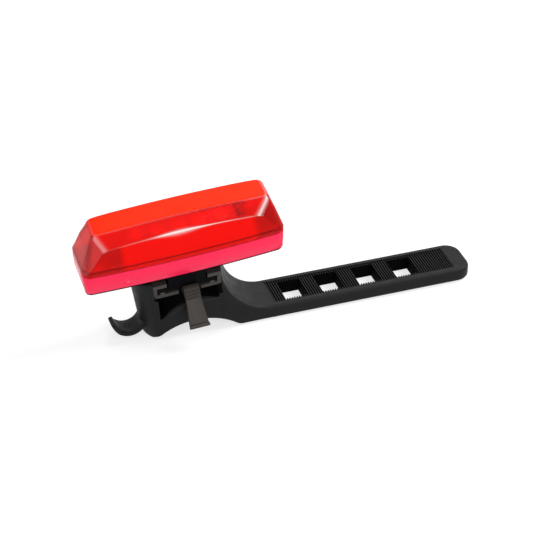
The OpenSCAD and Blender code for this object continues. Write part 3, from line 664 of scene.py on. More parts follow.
@dataclass
class RubberMount:
    """Rubber moulding: base with saddle, pocket and ramp, ribbed strap with holes, and hook."""

    seat: Seat
    finish: Moulded
    # Darker, duller copy of the rubber: painted shade for the pocket, the sunk rib grooves and the hole
    # walls.
    recess: Moulded
    strap_wid: float = 17.5
    strap_t: float = 5.2
    strap_end: float = 103.9
    edge_r: float = 1.3
    tip_r: float = 5.5
    panel_x: float = 29.1
    panel_len: float = 68.4
    panel_wid: float = 12.7
    panel_depth: float = 0.8
    rib_drop: float = 0.25
    rib_pitch: float = 0.9
    rib_slope: float = 0.07
    panel_step: float = 0.06
    strap_lead: float = 3.0
    hole_count: int = 4
    hole_pitch: float = 14.0
    hole_len: float = 8.3
    hole_wid: float = 10.2
    hole_lead: float = 4.5
    wall_drop: float = 1.2
    saddle_r: float = 24.0
    saddle_rise: float = 5.7
    saddle_t: float = 8.4
    pocket_r: float = 23.0
    pocket_x: float = 2.5
    pocket_half: float = 12.2
    pocket_depth: float = 8.7
    ledge_wid: float = 1.4
    end_reach: float = 17.8
    end_r: float = 11.0
    end_lean: float = 9.0
    ramp_foot: float = 28.6
    ramp_near_r: float = 20.0
    ramp_far_r: float = 14.5
    scoop_r: float = 27.0
    scoop_wid: float = 4.0
    scoop_over: float = 2.0
    ramp_most: float = 175.0
    ramp_tries: int = 700
    base_edge_r: float = 0.6
    base_share: float = 0.995
    base_eased: int = 14
    edge_from: float = 6.0
    edge_lead: float = 5.0
    stop_len: float = 1.4
    stop_drop: float = 0.08
    wall_least: float = 0.3
    roll_r: float = 2.2
    roll_lead: int = 5
    roll_fade: int = 14
    # How far in from the long faces the pocket's painted shade stops, straight and where rolled.
    painted_shade_margin: Pair = (0.5, 1.2)
    hook_r: float = 6.5
    hook_t: float = 1.6
    hook_x: float = 22.9
    hook_z: float = 7.5
    hook_open: float = 15.0
    hook_root: float = 358.0
    hook_power: float = 5.0
    hook_wid: float = 8.5
    hook_tip_wid: float = 3.8
    hook_taper: float = 2.8
    hook_edge_r: float = 0.3
    dimple_r: float = 1.15
    dimple_depth: float = 0.7
    runs: dict[str, int] = field(default_factory=lambda: {
        "end": 70, "mouth": 110, "under": 40, "stop": 12, "joint": 4, "ramp": 90, "top": 18, "side": 25,
        "ledge": 6, "step": 12, "floor": 90, "far_step": 26, "far_ledge": 6, "far_side": 25, "far_top": 12,
    })

    def build(self) -> Piece:
        """Makes the moulding and lets it stand for its solid.

        Returns:
            The new piece.
        """
        shell = Shell()
        self.base(shell)
        self.strap(shell)
        self.hook(shell)
        obj = shell.build("rubber_mount", 50)
        obj.data.materials.append(self.finish.material())
        obj.data.materials.append(self.recess.material())
        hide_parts("strap_mount")
        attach(obj, Body.MOUNT.value)
        return obj

    def ramp(self, y: Array, angle: Array) -> tuple[Array, Array]:
        """Ramp and scoop seen along y, in polar form about the ramp's centre.

        A ray at an angle from straight down leaves the rubber where the larger of two circles ends:
        the ramp's, of a radius that falls from the near to the far edge, and the scoop's, whose centre
        is h higher, at -h cos a + sqrt(s^2 - h^2 sin^2 a).

        Args:
            y: places across the strap, shape (n, 1).
            angle: angles in radians.

        Returns:
            x and z of the points.
        """
        half = self.strap_wid / 2
        r = self.ramp_near_r + (self.ramp_far_r - self.ramp_near_r) * (y + half) / self.strap_wid
        h = self.scoop_r - r
        fall = self.scoop_r - self.ramp_far_r - self.scoop_over
        s = self.scoop_r - fall * (y + half) / self.scoop_wid
        inside = s**2 - (h * np.sin(angle)) ** 2
        reach = np.where((inside > 0) & (s > 0), np.sqrt(np.maximum(inside, 0)) - h * np.cos(angle), 0)
        ray = np.maximum(r, reach)
        return self.ramp_foot - ray * np.sin(angle), self.strap_t + r - ray * np.cos(angle)

    def section(self, y: Array) -> Array:
        """Side outline of the base at each place across it.

        The outline goes counter-clockwise: down the leaning round end, along the saddle's arc and the
        underside, up the ramp, over the wall, down into the pocket, along its arched floor and up again.
        Runs from corner to corner are straight, but for the mouth, the floor and the ramp.

        Args:
            y: places across the strap, shape (n,).

        Returns:
            Points x and z, shape (n, points, 2).
        """
        y, n = y[:, None], self.runs
        seat, lean, zero = self.seat, math.tan(math.radians(self.end_lean)), np.zeros_like(y)
        saddle_z = self.saddle_rise - self.saddle_r
        half_mouth = math.sqrt(self.saddle_r**2 - saddle_z**2)
        floor_z = self.saddle_rise + self.saddle_t - self.pocket_r
        low_half, ledge = self.pocket_half - self.ledge_wid, -self.pocket_depth
        end_x, end_z = self.ramp_foot + self.stop_len, self.strap_t - self.stop_drop

        def arch(x: Array) -> Array:
            """Height of the saddle's arc over the table."""
            return np.maximum(saddle_z + np.sqrt(np.maximum(self.saddle_r**2 - x**2, 0)), 0)

        def floor(x: Array) -> Array:
            """Height of the pocket's arched floor."""
            return floor_z + np.sqrt(self.pocket_r**2 - (x - self.pocket_x) ** 2)

        def raised(side: Callable[[Array], Array], depth: float) -> tuple[Array, Array]:
            """Where a side meets a plane of the seat, found by going round a few times.

            Args:
                side: place x of the side at a height z.
                depth: level of the plane.

            Returns:
                x and z of the corner.
            """
            z = zero + seat.height
            for _ in range(4):
                z = seat.height_at(side(z), y, depth)
            return side(z), z

        def met(level: float, depth: float) -> tuple[Array, Array]:
            """Where a side plane of the pocket meets a plane of the seat."""
            return raised(lambda z: seat.side_at(z, level), depth)

        foot_x = self.end_r - self.end_reach - np.sqrt(self.end_r**2 - y**2)
        foot_z = arch(foot_x)
        foot = (foot_x - lean * foot_z, foot_z)
        outer_top = raised(lambda z: foot_x - lean * z, -self.wall_drop)

        angle = np.linspace(0, math.radians(self.ramp_most), self.ramp_tries)[None, :]
        x, z = self.ramp(y, angle)
        clear = x > seat.side_at(z, self.pocket_half) + self.wall_least
        free = clear & (z < seat.height_at(x, y, -self.wall_drop))
        first = np.argmin(free, axis=1)
        last = angle[0, first][:, None]
        ramp = np.stack(self.ramp(y, last * np.linspace(0, 1, n["ramp"])[None, :]), -1)
        cut = ~np.take_along_axis(clear, first[:, None], 1)
        right_z = met(self.pocket_half, -self.wall_drop)[1]
        right_z = np.where(cut, np.minimum(ramp[:, -1:, 1], right_z), right_z)
        ledge_z = np.minimum(met(self.pocket_half, ledge)[1], right_z)
        low_x = seat.side_at(ledge_z, low_half)
        far_x = seat.side_at(floor(met(-low_half, ledge)[0]), -low_half)
        corners = {
            "end": outer_top, "mouth": foot, "under": (half_mouth, 0), "stop": (end_x, 0),
            "joint": (end_x, end_z), "ramp": (self.ramp_foot, self.strap_t),
            "top": (ramp[:, -1:, 0], ramp[:, -1:, 1]),
            "side": (seat.side_at(right_z, self.pocket_half), right_z),
            "ledge": (seat.side_at(ledge_z, self.pocket_half), ledge_z), "step": (low_x, ledge_z),
            "floor": (low_x, np.minimum(floor(low_x), ledge_z)), "far_step": (far_x, floor(far_x)),
            "far_ledge": met(-low_half, ledge), "far_side": met(-self.pocket_half, ledge),
            "far_top": met(-self.pocket_half, -self.wall_drop),
        }
        points = {}
        for (run, a), b in zip(corners.items(), [*corners.values()][1:] + [outer_top]):
            u = np.linspace(0, 1, n[run], endpoint=False)[None, :]
            points[run] = np.stack([(p + zero) + (q - p + zero) * u for p, q in zip(a, b)], -1)
        for run, curve in (("mouth", arch), ("floor", floor)):
            points[run][..., 1] = curve(points[run][..., 0])
        points["ramp"] = ramp
        return np.concatenate(list(points.values()), axis=1)

    def start(self, run: str) -> int:
        """Number of the first point of a run of the base's outline."""
        names = list(self.runs)
        return sum(self.runs[name] for name in names[:names.index(run)])

    def base(self, shell: Shell) -> None:
        """Adds the base: its side outline, a function of y, rounded towards both long faces.

        It is a little narrower than the strap, so that none of their faces coincide. The pocket's floor is
        rolled over towards the long faces, and the pocket's inside takes a darker, duller copy of the rubber:
        painted shade.

        Args:
            shell: the mesh that the base goes into.
        """
        half = self.strap_wid / 2
        y = rounded_stations(half, self.roll_r, 30, 14)[0]
        outline = eased(self.section(y), self.base_eased)
        turn = np.arange(outline.shape[1])
        pocket = (turn > self.start("side")) & (turn < self.start("far_top"))
        inwards = np.minimum(turn - self.start("floor"), self.start("far_step") - turn) - self.roll_lead
        rolled = np.clip(inwards / self.roll_fade, 0, 1)
        grows = [self.edge_from, self.ramp_foot - self.edge_lead]
        r = np.interp(outline[..., 0], grows, [self.base_edge_r, self.edge_r])
        r = r + (self.roll_r - r) * rolled
        past = np.clip(np.abs(y)[:, None] - half + r, 0, r)
        outline = drawn_in(outline, r - np.sqrt(r**2 - past**2))
        across = np.broadcast_to(self.base_share * y[:, None], outline.shape[:2])
        # Painted shade: the pocket's inside, short of the long faces, takes the darker rubber.
        inside = pocket & (np.abs(y)[:-1, None] < half - self.painted_shade_margin[0] - self.painted_shade_margin[1] * rolled)
        shell.add_loops(np.stack([outline[..., 0], across, outline[..., 1]], -1), marks=inside)

    def strap(self, shell: Shell) -> None:
        """Adds the strap: top and underside are heights over a grid, round where the outline is near.

        With d the distance from the outline, the face falls by r - sqrt(r^2 - (r - d)^2) for d < r.
        Ribs are a trapezium wave along x inside the panel, and holes are cells left out, with walls.

        Args:
            shell: the mesh that the strap goes into.
        """
        half, r, t = self.strap_wid / 2, self.edge_r, self.strap_t
        slope, pitch = self.rib_slope, self.rib_pitch
        ribs = self.panel_x + pitch * np.arange(int(round(self.panel_len / pitch)) + 1)
        stops = np.array([-slope, slope, pitch / 2 - slope, pitch / 2 + slope])
        rib_x = (ribs[:, None] + stops).ravel()
        panel_end = self.panel_x + self.panel_len
        hole_x0 = self.panel_x + self.hole_lead + self.hole_pitch * np.arange(self.hole_count)
        hole_x1 = hole_x0 + self.hole_len
        turn_x = self.strap_end - self.tip_r
        tip = turn_x + self.tip_r * np.sin(np.linspace(0, math.pi / 2, 22))
        edge = self.strap_end - r * (1 - np.sin(np.linspace(0.1, math.pi / 2, 8)))
        x = np.concatenate([
            np.linspace(self.ramp_foot - self.strap_lead, self.panel_x - 0.2, 6),
            rib_x[rib_x < panel_end + 0.1], hole_x0, hole_x1, [panel_end + 0.15], tip, edge,
        ])
        x = np.unique(np.round(x, 3))[:, None]
        wide = half - self.tip_r + np.sqrt(np.maximum(self.tip_r**2 - np.maximum(x - turn_x, 0) ** 2, 0))
        off = r * (1 - np.cos(np.linspace(0, math.pi / 2, 7)))[None, :]
        panel_half, hole_half = self.panel_wid / 2, self.hole_wid / 2
        inner = np.array([[0, hole_half / 2, hole_half, panel_half - self.panel_step,
                           panel_half + self.panel_step]])
        inner = inner * np.minimum(1, (wide - r - 0.2) / inner.max())
        y = np.concatenate([off - wide, -inner[:, ::-1], inner[:, 1:], (wide - off)[:, ::-1]], 1)
        x = np.broadcast_to(x, y.shape)
        dx, dy = x - turn_x, np.abs(y) - (half - self.tip_r)
        gap = self.tip_r - np.hypot(np.maximum(dx, 0), np.maximum(dy, 0)) - np.minimum(np.maximum(dx, dy), 0)
        fall = r - np.sqrt(r**2 - (r - np.clip(gap, 0, r)) ** 2)
        phase = np.mod(x - self.panel_x, pitch)
        wave = np.interp(phase, [0, slope, pitch / 2 - slope, pitch / 2 + slope, pitch - slope, pitch],
                         [0.5, 1, 1, 0, 0, 0.5])
        sunk = self.rib_drop + (self.panel_depth - self.rib_drop) * wave
        panel = (np.abs(y) < panel_half) & (x > self.panel_x - 0.01) & (x < panel_end + 0.01)
        tops = np.stack([x, y, t - fall - np.where(panel, sunk, 0)], -1)
        feet = np.stack([x, y, fall], -1)
        rows, cols = y.shape
        number = np.arange(rows * cols).reshape(rows, cols)
        low = number + rows * cols
        mid_x, mid_y = (x[1:, :-1] + x[:-1, :-1]) / 2, np.abs(y[:-1, 1:] + y[:-1, :-1]) / 2
        hole = np.zeros(mid_x.shape, dtype=bool)
        walls = []
        j0, j1 = np.searchsorted(y[0], [-hole_half - 1e-6, hole_half - 1e-6])
        for a, b in zip(hole_x0, hole_x1):
            hole |= (mid_x > a) & (mid_x < b) & (mid_y < hole_half)
            i0, i1 = np.searchsorted(x[:, 0], [a - 1e-6, b - 1e-6])
            cut = np.s_[i0:i1 + 1, j0:j1 + 1]
            walls.append(self.rim(low[cut], number[cut]))
        cells = grid_quads(rows, cols)[~hole.ravel()]
        # Painted shade: the sunk halves of the rib wave and the hole walls take the darker rubber.
        groove_painted_shade = (panel & (wave > 0.5))[:-1, :-1].ravel()[~hole.ravel()]
        inner_walls = sum(len(wall) for wall in walls)
        quads = np.vstack([cells, cells[:, ::-1] + rows * cols, *walls, self.rim(number, low)])
        marks = np.zeros(len(quads))
        marks[:len(cells)] = groove_painted_shade
        marks[2 * len(cells):2 * len(cells) + inner_walls] = 1
        shell.add(np.stack([tops, feet]), quads, marks=marks)

    @staticmethod
    def rim(a: Array, b: Array) -> Array:
        """Faces between two grids of point numbers, all round their edges."""
        a, b = (np.concatenate([g[0, :-1], g[:-1, -1], g[-1, :0:-1], g[:0:-1, 0]]) for g in (a, b))
        return np.stack([a, np.roll(a, -1), np.roll(b, -1), b], -1)

    def hook(self, shell: Shell) -> None:
        """Adds the hook: a rounded section carried along an arc, narrower and cut square at its tip.

        The section is a superellipse, |u / a|^5 + |v / b|^5 = 1. The arc runs from the base, below its
        centre, to the tip, and a dimple is pressed into its inside at the lowest point.

        Args:
            shell: the mesh that the hook goes into.
        """
        mid, edge = self.hook_r - self.hook_t / 2, self.hook_edge_r
        start, stop = math.radians(self.hook_root), math.radians(180 + self.hook_open)
        turn = np.linspace(0, math.pi / 2, 6)[1:]
        body = np.linspace(start, stop + edge / mid, 80)
        arc = np.concatenate([body, stop + edge * (1 - np.sin(turn)) / mid])
        inset = np.concatenate([np.zeros(len(body)), edge * (1 - np.cos(turn))])[:, None]
        narrow = np.clip((self.hook_taper - self.hook_r - mid * np.cos(arc)) / self.hook_taper, 0, 1)
        half_w = self.hook_wid / 2 + (self.hook_tip_wid - self.hook_wid) / 2 * narrow
        half_w = np.convolve(np.pad(half_w, 3, mode="edge"), np.ones(7) / 7, mode="valid")[:, None]
        a = np.linspace(0, 2 * math.pi, 56, endpoint=False)[None, :]
        power = 2 / self.hook_power
        u = np.sign(np.cos(a)) * np.abs(np.cos(a)) ** power * (self.hook_t / 2 - inset)
        v = np.sign(np.sin(a)) * np.abs(np.sin(a)) ** power * (half_w - inset)
        from_low = (arc[:, None] - 1.5 * math.pi) * mid
        dent = self.dimple_depth * np.exp(-(((from_low**2 + v**2) / self.dimple_r**2) ** 3))
        ring = mid + u + np.where(u < 0, dent, 0)
        x = -self.hook_x + ring * np.cos(arc)[:, None]
        z = self.hook_z + ring * np.sin(arc)[:, None]
        shell.add_loops(np.stack([x, v, z], -1), flip=True)


@dataclass(frozen=True)
class LensLight:
    """How strong the lens's milk, painted highlights and painted shade are, and where.

    Tables go along x, and a pair for the end faces is left and right. The slope's milk is at its ends and
    what its middle adds, the crease's swell is what it adds, where, and how far it reaches, and the rim's
    line is its height and half its thickness.
    """

    # Painted highlights: along the crease fillet, the window's end edges, the lid's edge and the left end
    # face.
    crease: Table = ((-24, -13, -7, 8, 27), (0.1, 0.4, 1, 1, 0.4))
    crease_thin: float = 0.1
    crease_swell: Triple = (0.3, -1.0, 7.0)
    side_gap: float = 0.5
    face_gap: float = 0.4
    face_line: float = 0.3
    face_painted_glint: Pair = (0.45, 0.9)
    lid: Table = ((-30, 30), (0.12, 0.32))
    lid_ring: int = 9
    lid_line: float = 1.2
    frosted_rings: int = 8
    slope_milk: Pair = (0.3, 0.35)
    slope_half: float = 24.5
    slope_middle: float = 2.0
    band_milk: Table = ((-22, -12, 6, 10, 18, 24), (0.6, 0.4, 0.3, 0.06, 0.06, 0.5))
    end_gap: float = 0.2
    end_painted_glint: float = 0.1
    end_milk: Pair = (0.35, 0.55)
    # Painted shade: on the right end face, and down the vertical corners.
    end_painted_shade: float = 0.45
    rim_line: Pair = (10.35, 0.17)
    rim_milk: float = 0.8
    corner_painted_shade: float = 0.55
    corner_start: float = 0.15
    fade: float = 2.0


@dataclass
class Lens:
    """Clear red lens: bowed sides with a window in each, raked ends and a crowned top."""

    seat: Seat
    finish: ClearRed
    light_len: float = 71.5
    light_wid: float = 18.8
    side_bow: float = 1.1
    seam_z: float = 8.2
    foot_z: float = 8.7
    rim_z: float = 9.6
    lip: float = 0.4
    crease_z: float = 17.4
    top_z: float = 24.9
    crease_wid: float = 10.0
    top_wid: float = 8.7
    top_len: float = 62.0
    crown: float = 0.95
    wall: float = 1.7
    rim_in: float = 2.6
    tongue_in: float = 1.85
    corner_r: float = 3.0
    top_corner_r: float = 1.8
    edge_r: float = 0.8
    end_round: float = 4.0
    fillet: float = 0.3
    edge_fillets: Pair = (0.1, 0.08)
    window_foot: Triple = (34.0, 8.6, 9.6)
    window_mid: Triple = (26.75, 5.0, 16.2)
    window_head: Triple = (29.6, 3.9, 24.9)
    window_depth: float = 2.0
    inner_foot: float = 0.6
    lid_shares: tuple[float, ...] = (0.86, 0.66, 0.42, 0.2, 0.02)
    lid_corner: float = 0.9
    inner_lift: float = 0.1
    tongue_len: float = 1.0
    edge_share: float = 0.4
    edge_least: float = 0.3
    corner_share: float = 0.5
    edge_bow: float = 0.6
    edge_range: Pair = (0.6, 0.5)
    crowding: float = 1.6
    light: LensLight = LensLight()
    side_steps: int = 60
    face_steps: int = 10
    turn_steps: int = 11
    end_steps: int = 8
    face: Moulded = Moulded("lens_frosted", (0.95, 0.024, 0.004), drift=0.05, rough=(0.45, 0.6), grain=900,
                            strength=0.15, shine=0.06)

    def bow(self, x: Array) -> Array:
        """How far a long side draws in at a place, x^2 / (2 R) on the arc of radius R."""
        radius = ((self.light_len / 2) ** 2 + self.side_bow**2) / (2 * self.side_bow)
        return x**2 / (2 * radius)

    def slope(self, z: Array, foot: float) -> Array:
        """Half width of the slope at mid length, on the line from its foot to the crease."""
        lean = (self.light_wid - self.crease_wid) / 2 / (self.crease_z - foot)
        return self.light_wid / 2 - lean * (z - foot)

    def band(self, z: Array) -> Array:
        """Half width of the upright band, on the line from the crease to the top."""
        run = (self.crease_wid - self.top_wid) / 2 / (self.top_z - self.crease_z)
        return self.crease_wid / 2 - run * (z - self.crease_z)

    def end_face(self) -> Array:
        """Returns a, p and q of the window's end faces, planes h = a + p |x| + q z through three points."""
        points = np.array([self.window_foot, self.window_mid, self.window_head])
        return np.linalg.solve(np.stack([np.ones(3), points[:, 0], points[:, 2]], -1), points[:, 1])

    def half_at(self, x: Array, z: Array) -> Array:
        """Half width of the outside at a place along it and a height.

        The block's side is h = w / 2 - k (z - rim) - bow(x). The window's floor is the larger of the
        slope, with the same bow, and the band, and its ends are the end faces. The outline is
        min(plan, block, max(slope, band, end face)), and where two of them, u and v, meet, it is rounded
        as (u + v +- sqrt((u - v)^2 + r^2)) / 2.

        Args:
            x: place along the light from its middle.
            z: height.

        Returns:
            The half width there.
        """
        def larger(u: Array, v: Array, r: float) -> Array:
            """The larger of two, rounded."""
            return (u + v + np.sqrt((u - v) ** 2 + r**2)) / 2

        a, p, q = self.end_face()
        run = (self.light_wid - self.top_wid - self.lip) / 2 / (self.top_z - self.rim_z)
        bow = self.bow(x)
        floor = larger(self.slope(z, self.rim_z + self.lip) - bow, self.band(z), self.fillet)
        floor = larger(floor, a + p * np.abs(x) + q * z, self.fillet)
        block = self.light_wid / 2 - run * (z - self.rim_z) - bow
        plan = self.light_wid / 2 - bow
        inner, outer = self.edge_fillets
        window = larger(floor, block - self.window_depth, inner)
        return -larger(-window, -np.minimum(block, plan), outer)

    def inside_at(self, x: Array, z: Array) -> Array:
        """Half width of the inside: the slope and the band, drawn in by the wall."""
        half = np.maximum(self.slope(z, self.rim_z + self.inner_foot) - self.bow(x), self.band(z))
        return np.minimum(half, self.light_wid / 2 - self.bow(x)) - self.wall

    def loops(self, z: Array, half_len: Array, r: Array, crowned: Array,
              half: Callable[[Array, Array], Array]) -> Array:
        """Plan outlines at their levels: long sides from a function, straight ends and round corners.

        Points on a long side crowd towards the edges of the window's end faces. The crown lowers a level
        by crowned x^2 / (2 R).

        Args:
            z: height of each level.
            half_len: half length of each outline.
            r: corner radius of each outline.
            crowned: share of the top's crown that the level follows.
            half: half width from places and heights, both of shape (levels, points).

        Returns:
            Points, shape (levels, points, 3), counter-clockwise seen from above.
        """
        z, a, r, crowned = (np.asarray(v, float)[:, None] for v in (z, half_len, r, crowned))
        radius = ((self.top_len / 2) ** 2 + self.crown**2) / (2 * self.crown)
        c, p, q = self.end_face()
        x_c = a - r
        floor = np.maximum(self.slope(z, self.rim_z + self.lip) - self.edge_bow, self.band(z))
        edge = np.clip((floor - c - q * z) / p, self.edge_range[0] * x_c, x_c - self.edge_range[1])
        u = np.linspace(-1, 1, self.side_steps + 1)[None, :]
        out = np.linspace(0, 1, self.face_steps + 1)[None, 1:] ** self.crowding
        far = edge + (x_c - edge) * out
        near_x = np.concatenate([-far[:, ::-1], edge * (1.5 * u - 0.5 * u**3), far[:, :-1]], 1)
        near_y = -half(near_x, z - crowned * near_x**2 / (2 * radius))
        y_c = half(x_c, z - crowned * x_c**2 / (2 * radius)) - r
        turn = np.linspace(0, math.pi / 2, self.turn_steps + 1)[None, :-1]
        end = np.linspace(-1, 1, self.end_steps + 1)[None, :-1]
        turn_x, turn_y = x_c + r * np.sin(turn), -y_c - r * np.cos(turn)
        end_x, end_y = a + 0 * end, y_c * end
        up_x, up_y = x_c + r * np.cos(turn), y_c + r * np.sin(turn)
        x = np.concatenate([near_x, turn_x, end_x, up_x], 1)
        y = np.concatenate([near_y, turn_y, end_y, up_y], 1)
        x, y = np.concatenate([x, -x], 1), np.concatenate([y, -y], 1)
        return np.stack([x, y, z - crowned * x**2 / (2 * radius)], -1)

    def skin(self, inset: float, start: float, half: Callable[[Array, Array], Array]) -> Array:
        """Loops of one skin from a start level up to the top and in to its middle line.

        Args:
            inset: how far the skin lies inside the outer one.
            start: level of its lowest loop.
            half: half width from places and heights.

        Returns:
            Points, shape (levels, points, 3).
        """
        top = self.top_z - inset
        edge = max(self.edge_r - self.edge_share * inset, self.edge_least)
        parts = ((start, 11.2, 18), (11.4, 15.2, 14), (15.3, 18.2, 28), (18.5, top - edge, 24))
        z = np.concatenate([np.linspace(*part) for part in parts])
        share = np.clip((z - self.rim_z) / (self.crease_z - self.rim_z), 0, 1)
        length = np.interp(z, [self.rim_z, self.top_z - self.crown], [self.light_len / 2, self.top_len / 2])
        length = length - inset
        r = self.corner_r + (self.top_corner_r - self.corner_r) * share - self.corner_share * inset
        crowned = np.clip((z - self.crease_z) / (top - edge - self.crease_z), 0, 1)
        walls = self.loops(z, length, r, crowned, half)
        a, rest = np.linspace(0, math.pi / 2, 7)[1:], np.ones(len(self.lid_shares))
        shrink = np.concatenate([np.ones(len(a)), self.lid_shares])
        low = np.concatenate([top - edge + edge * np.sin(a), top * rest])
        inwards = np.concatenate([edge * (1 - np.cos(a)), edge * rest])

        def lid_half(x: Array, level: Array) -> Array:
            """Half width of the lid: the last wall's, drawn in round the edge and then to the middle line."""
            rise = (low - (top - edge))[:, None]
            return (half(x, level - rise) - inwards[:, None]) * shrink[:, None]

        wide = float(half(np.zeros((1, 1)), np.full((1, 1), top - edge))[0, 0]) - edge
        len_top = length[-1] - inwards * max(self.end_round - inset, edge) / edge - wide * (1 - shrink)
        r_top = np.minimum((r[-1] - self.corner_share * inwards) * shrink, wide * shrink * self.lid_corner)
        lid = self.loops(low, len_top, r_top, np.ones(len(low)), lid_half)
        return np.concatenate([walls, lid])

    def build(self) -> Piece:
        """Makes the lens as one closed skin: outside, foot, tongue and inside.

        Returns:
            The new piece.
        """
        outer = self.skin(0.0, self.foot_z, self.half_at)
        inner = self.skin(self.wall, self.rim_z + self.inner_lift, self.inside_at)
        inset = np.array([self.tongue_in, self.tongue_in, self.rim_in, self.rim_in])
        low = self.seam_z - self.tongue_len
        foot = self.loops(np.array([self.foot_z, low, low, self.rim_z]), self.light_len / 2 - inset,
                          self.corner_r - self.corner_share * inset, np.zeros(4),
                          lambda x, z: self.light_wid / 2 - self.bow(x) - inset[:, None])
        rings = np.concatenate([outer[::-1], foot, inner])
        frosted = np.zeros((len(rings) - 1, rings.shape[1]))
        frosted[:self.light.frosted_rings] = 1
        shell = Shell()
        shell.add_loops(self.seat.to_row(rings), marks=frosted)
        obj = shell.build("lens_cover", 30)
        self.shade(obj, rings, len(outer))
        obj.data.materials.append(self.finish.material())
        obj.data.materials.append(self.face.material())
        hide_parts("lens")
        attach(obj, Body.LIGHT.value)
        return obj

    def shade(self, obj: Piece, rings: Array, outer: int) -> None:
        """Keeps the lens's milk, painted highlights and shade: cloudy slopes, painted highlights on fillets
        and edges, painted shade on corners and the right end, and the rim line.

        With f the distance from a fillet or a line, what these add is exp(-(f / s)^2), on the outside only.

        Args:
            obj: the lens.
            rings: its points, in the light's own frame.
            outer: number of rings of the outside.
        """
        x, z, look = rings[..., 0], rings[..., 2], self.light
        a, p, q = self.end_face()
        slope = self.slope(z, self.rim_z + self.lip) - self.bow(x)
        band = self.band(z)
        floor = np.maximum(slope, band)
        face = a + p * np.abs(x) + q * z
        right, outer_end = x > 0, face > floor + look.end_gap
        level = np.arange(len(rings))[:, None] + 0 * z

        # Painted highlights: pale lines along the crease fillet, the window's end edges and the lid's edge,
        # and a paler left end.
        swell, swell_x, swell_half = look.crease_swell
        thick = look.crease_thin + swell * bell(x - swell_x, swell_half)
        crease = bell(slope - band, thick) * np.interp(x, *look.crease)
        ends = bell(face - floor, look.face_line) * (slope < band + look.crease_thin)
        ends = ends * np.where(right, *look.face_painted_glint[::-1])
        side = (np.abs(np.abs(rings[..., 1]) - floor) < look.side_gap) & (face < floor + look.face_gap)
        lid = bell(level - look.lid_ring, look.lid_line) * np.interp(x, *look.lid)
        glint = np.maximum(np.where(side, np.maximum(crease, ends), 0), lid)
        glint = np.maximum(glint, np.where(outer_end & ~right, look.end_painted_glint, 0))

        middle = np.clip((look.slope_half - np.abs(x - look.slope_middle)) / look.fade, 0, 1)
        milk = look.slope_milk[0] + look.slope_milk[1] * middle
        milk = np.where(slope > band, milk, np.interp(x, *look.band_milk))
        milk = np.where(outer_end, np.where(right, *look.end_milk[::-1]), milk)
        # A dark line along the outside just above the rim, also milkier.
        line = bell(z - look.rim_line[0], look.rim_line[1])

        # Painted shade down the vertical corners of the outside.
        corner = np.zeros(rings.shape[1])
        across = self.side_steps + 2 * self.face_steps
        first = np.array([across, across + self.turn_steps + self.end_steps])
        for at in np.concatenate([first, first + rings.shape[1] // 2]):
            turn = np.linspace(look.corner_start, 1, self.turn_steps)
            corner[at:at + self.turn_steps] = np.sin(turn * math.pi)
        corner = corner * np.clip((z - self.rim_z) / look.fade, 0, 1) * (level > look.lid_ring + 1)
        for values in (glint, line, corner):
            values[outer:] = 0
        # Painted shade on the right end face, together with the dark rim line.
        shade = np.maximum(line, np.where(outer_end & right, look.end_painted_shade, 0))
        self.attribute(obj, "glint", glint)
        self.attribute(obj, "milk", np.maximum(milk, look.rim_milk * line))
        self.attribute(obj, "shade", np.maximum(shade, look.corner_painted_shade * corner))

    @staticmethod
    def attribute(obj: Piece, name: str, values: Array) -> None:
        """Keeps one number for each point under a name that a material can read."""
        layer = obj.data.attributes.new(name, "FLOAT", "POINT")
        layer.data.foreach_set("value", np.ascontiguousarray(values, dtype=np.float32).ravel())


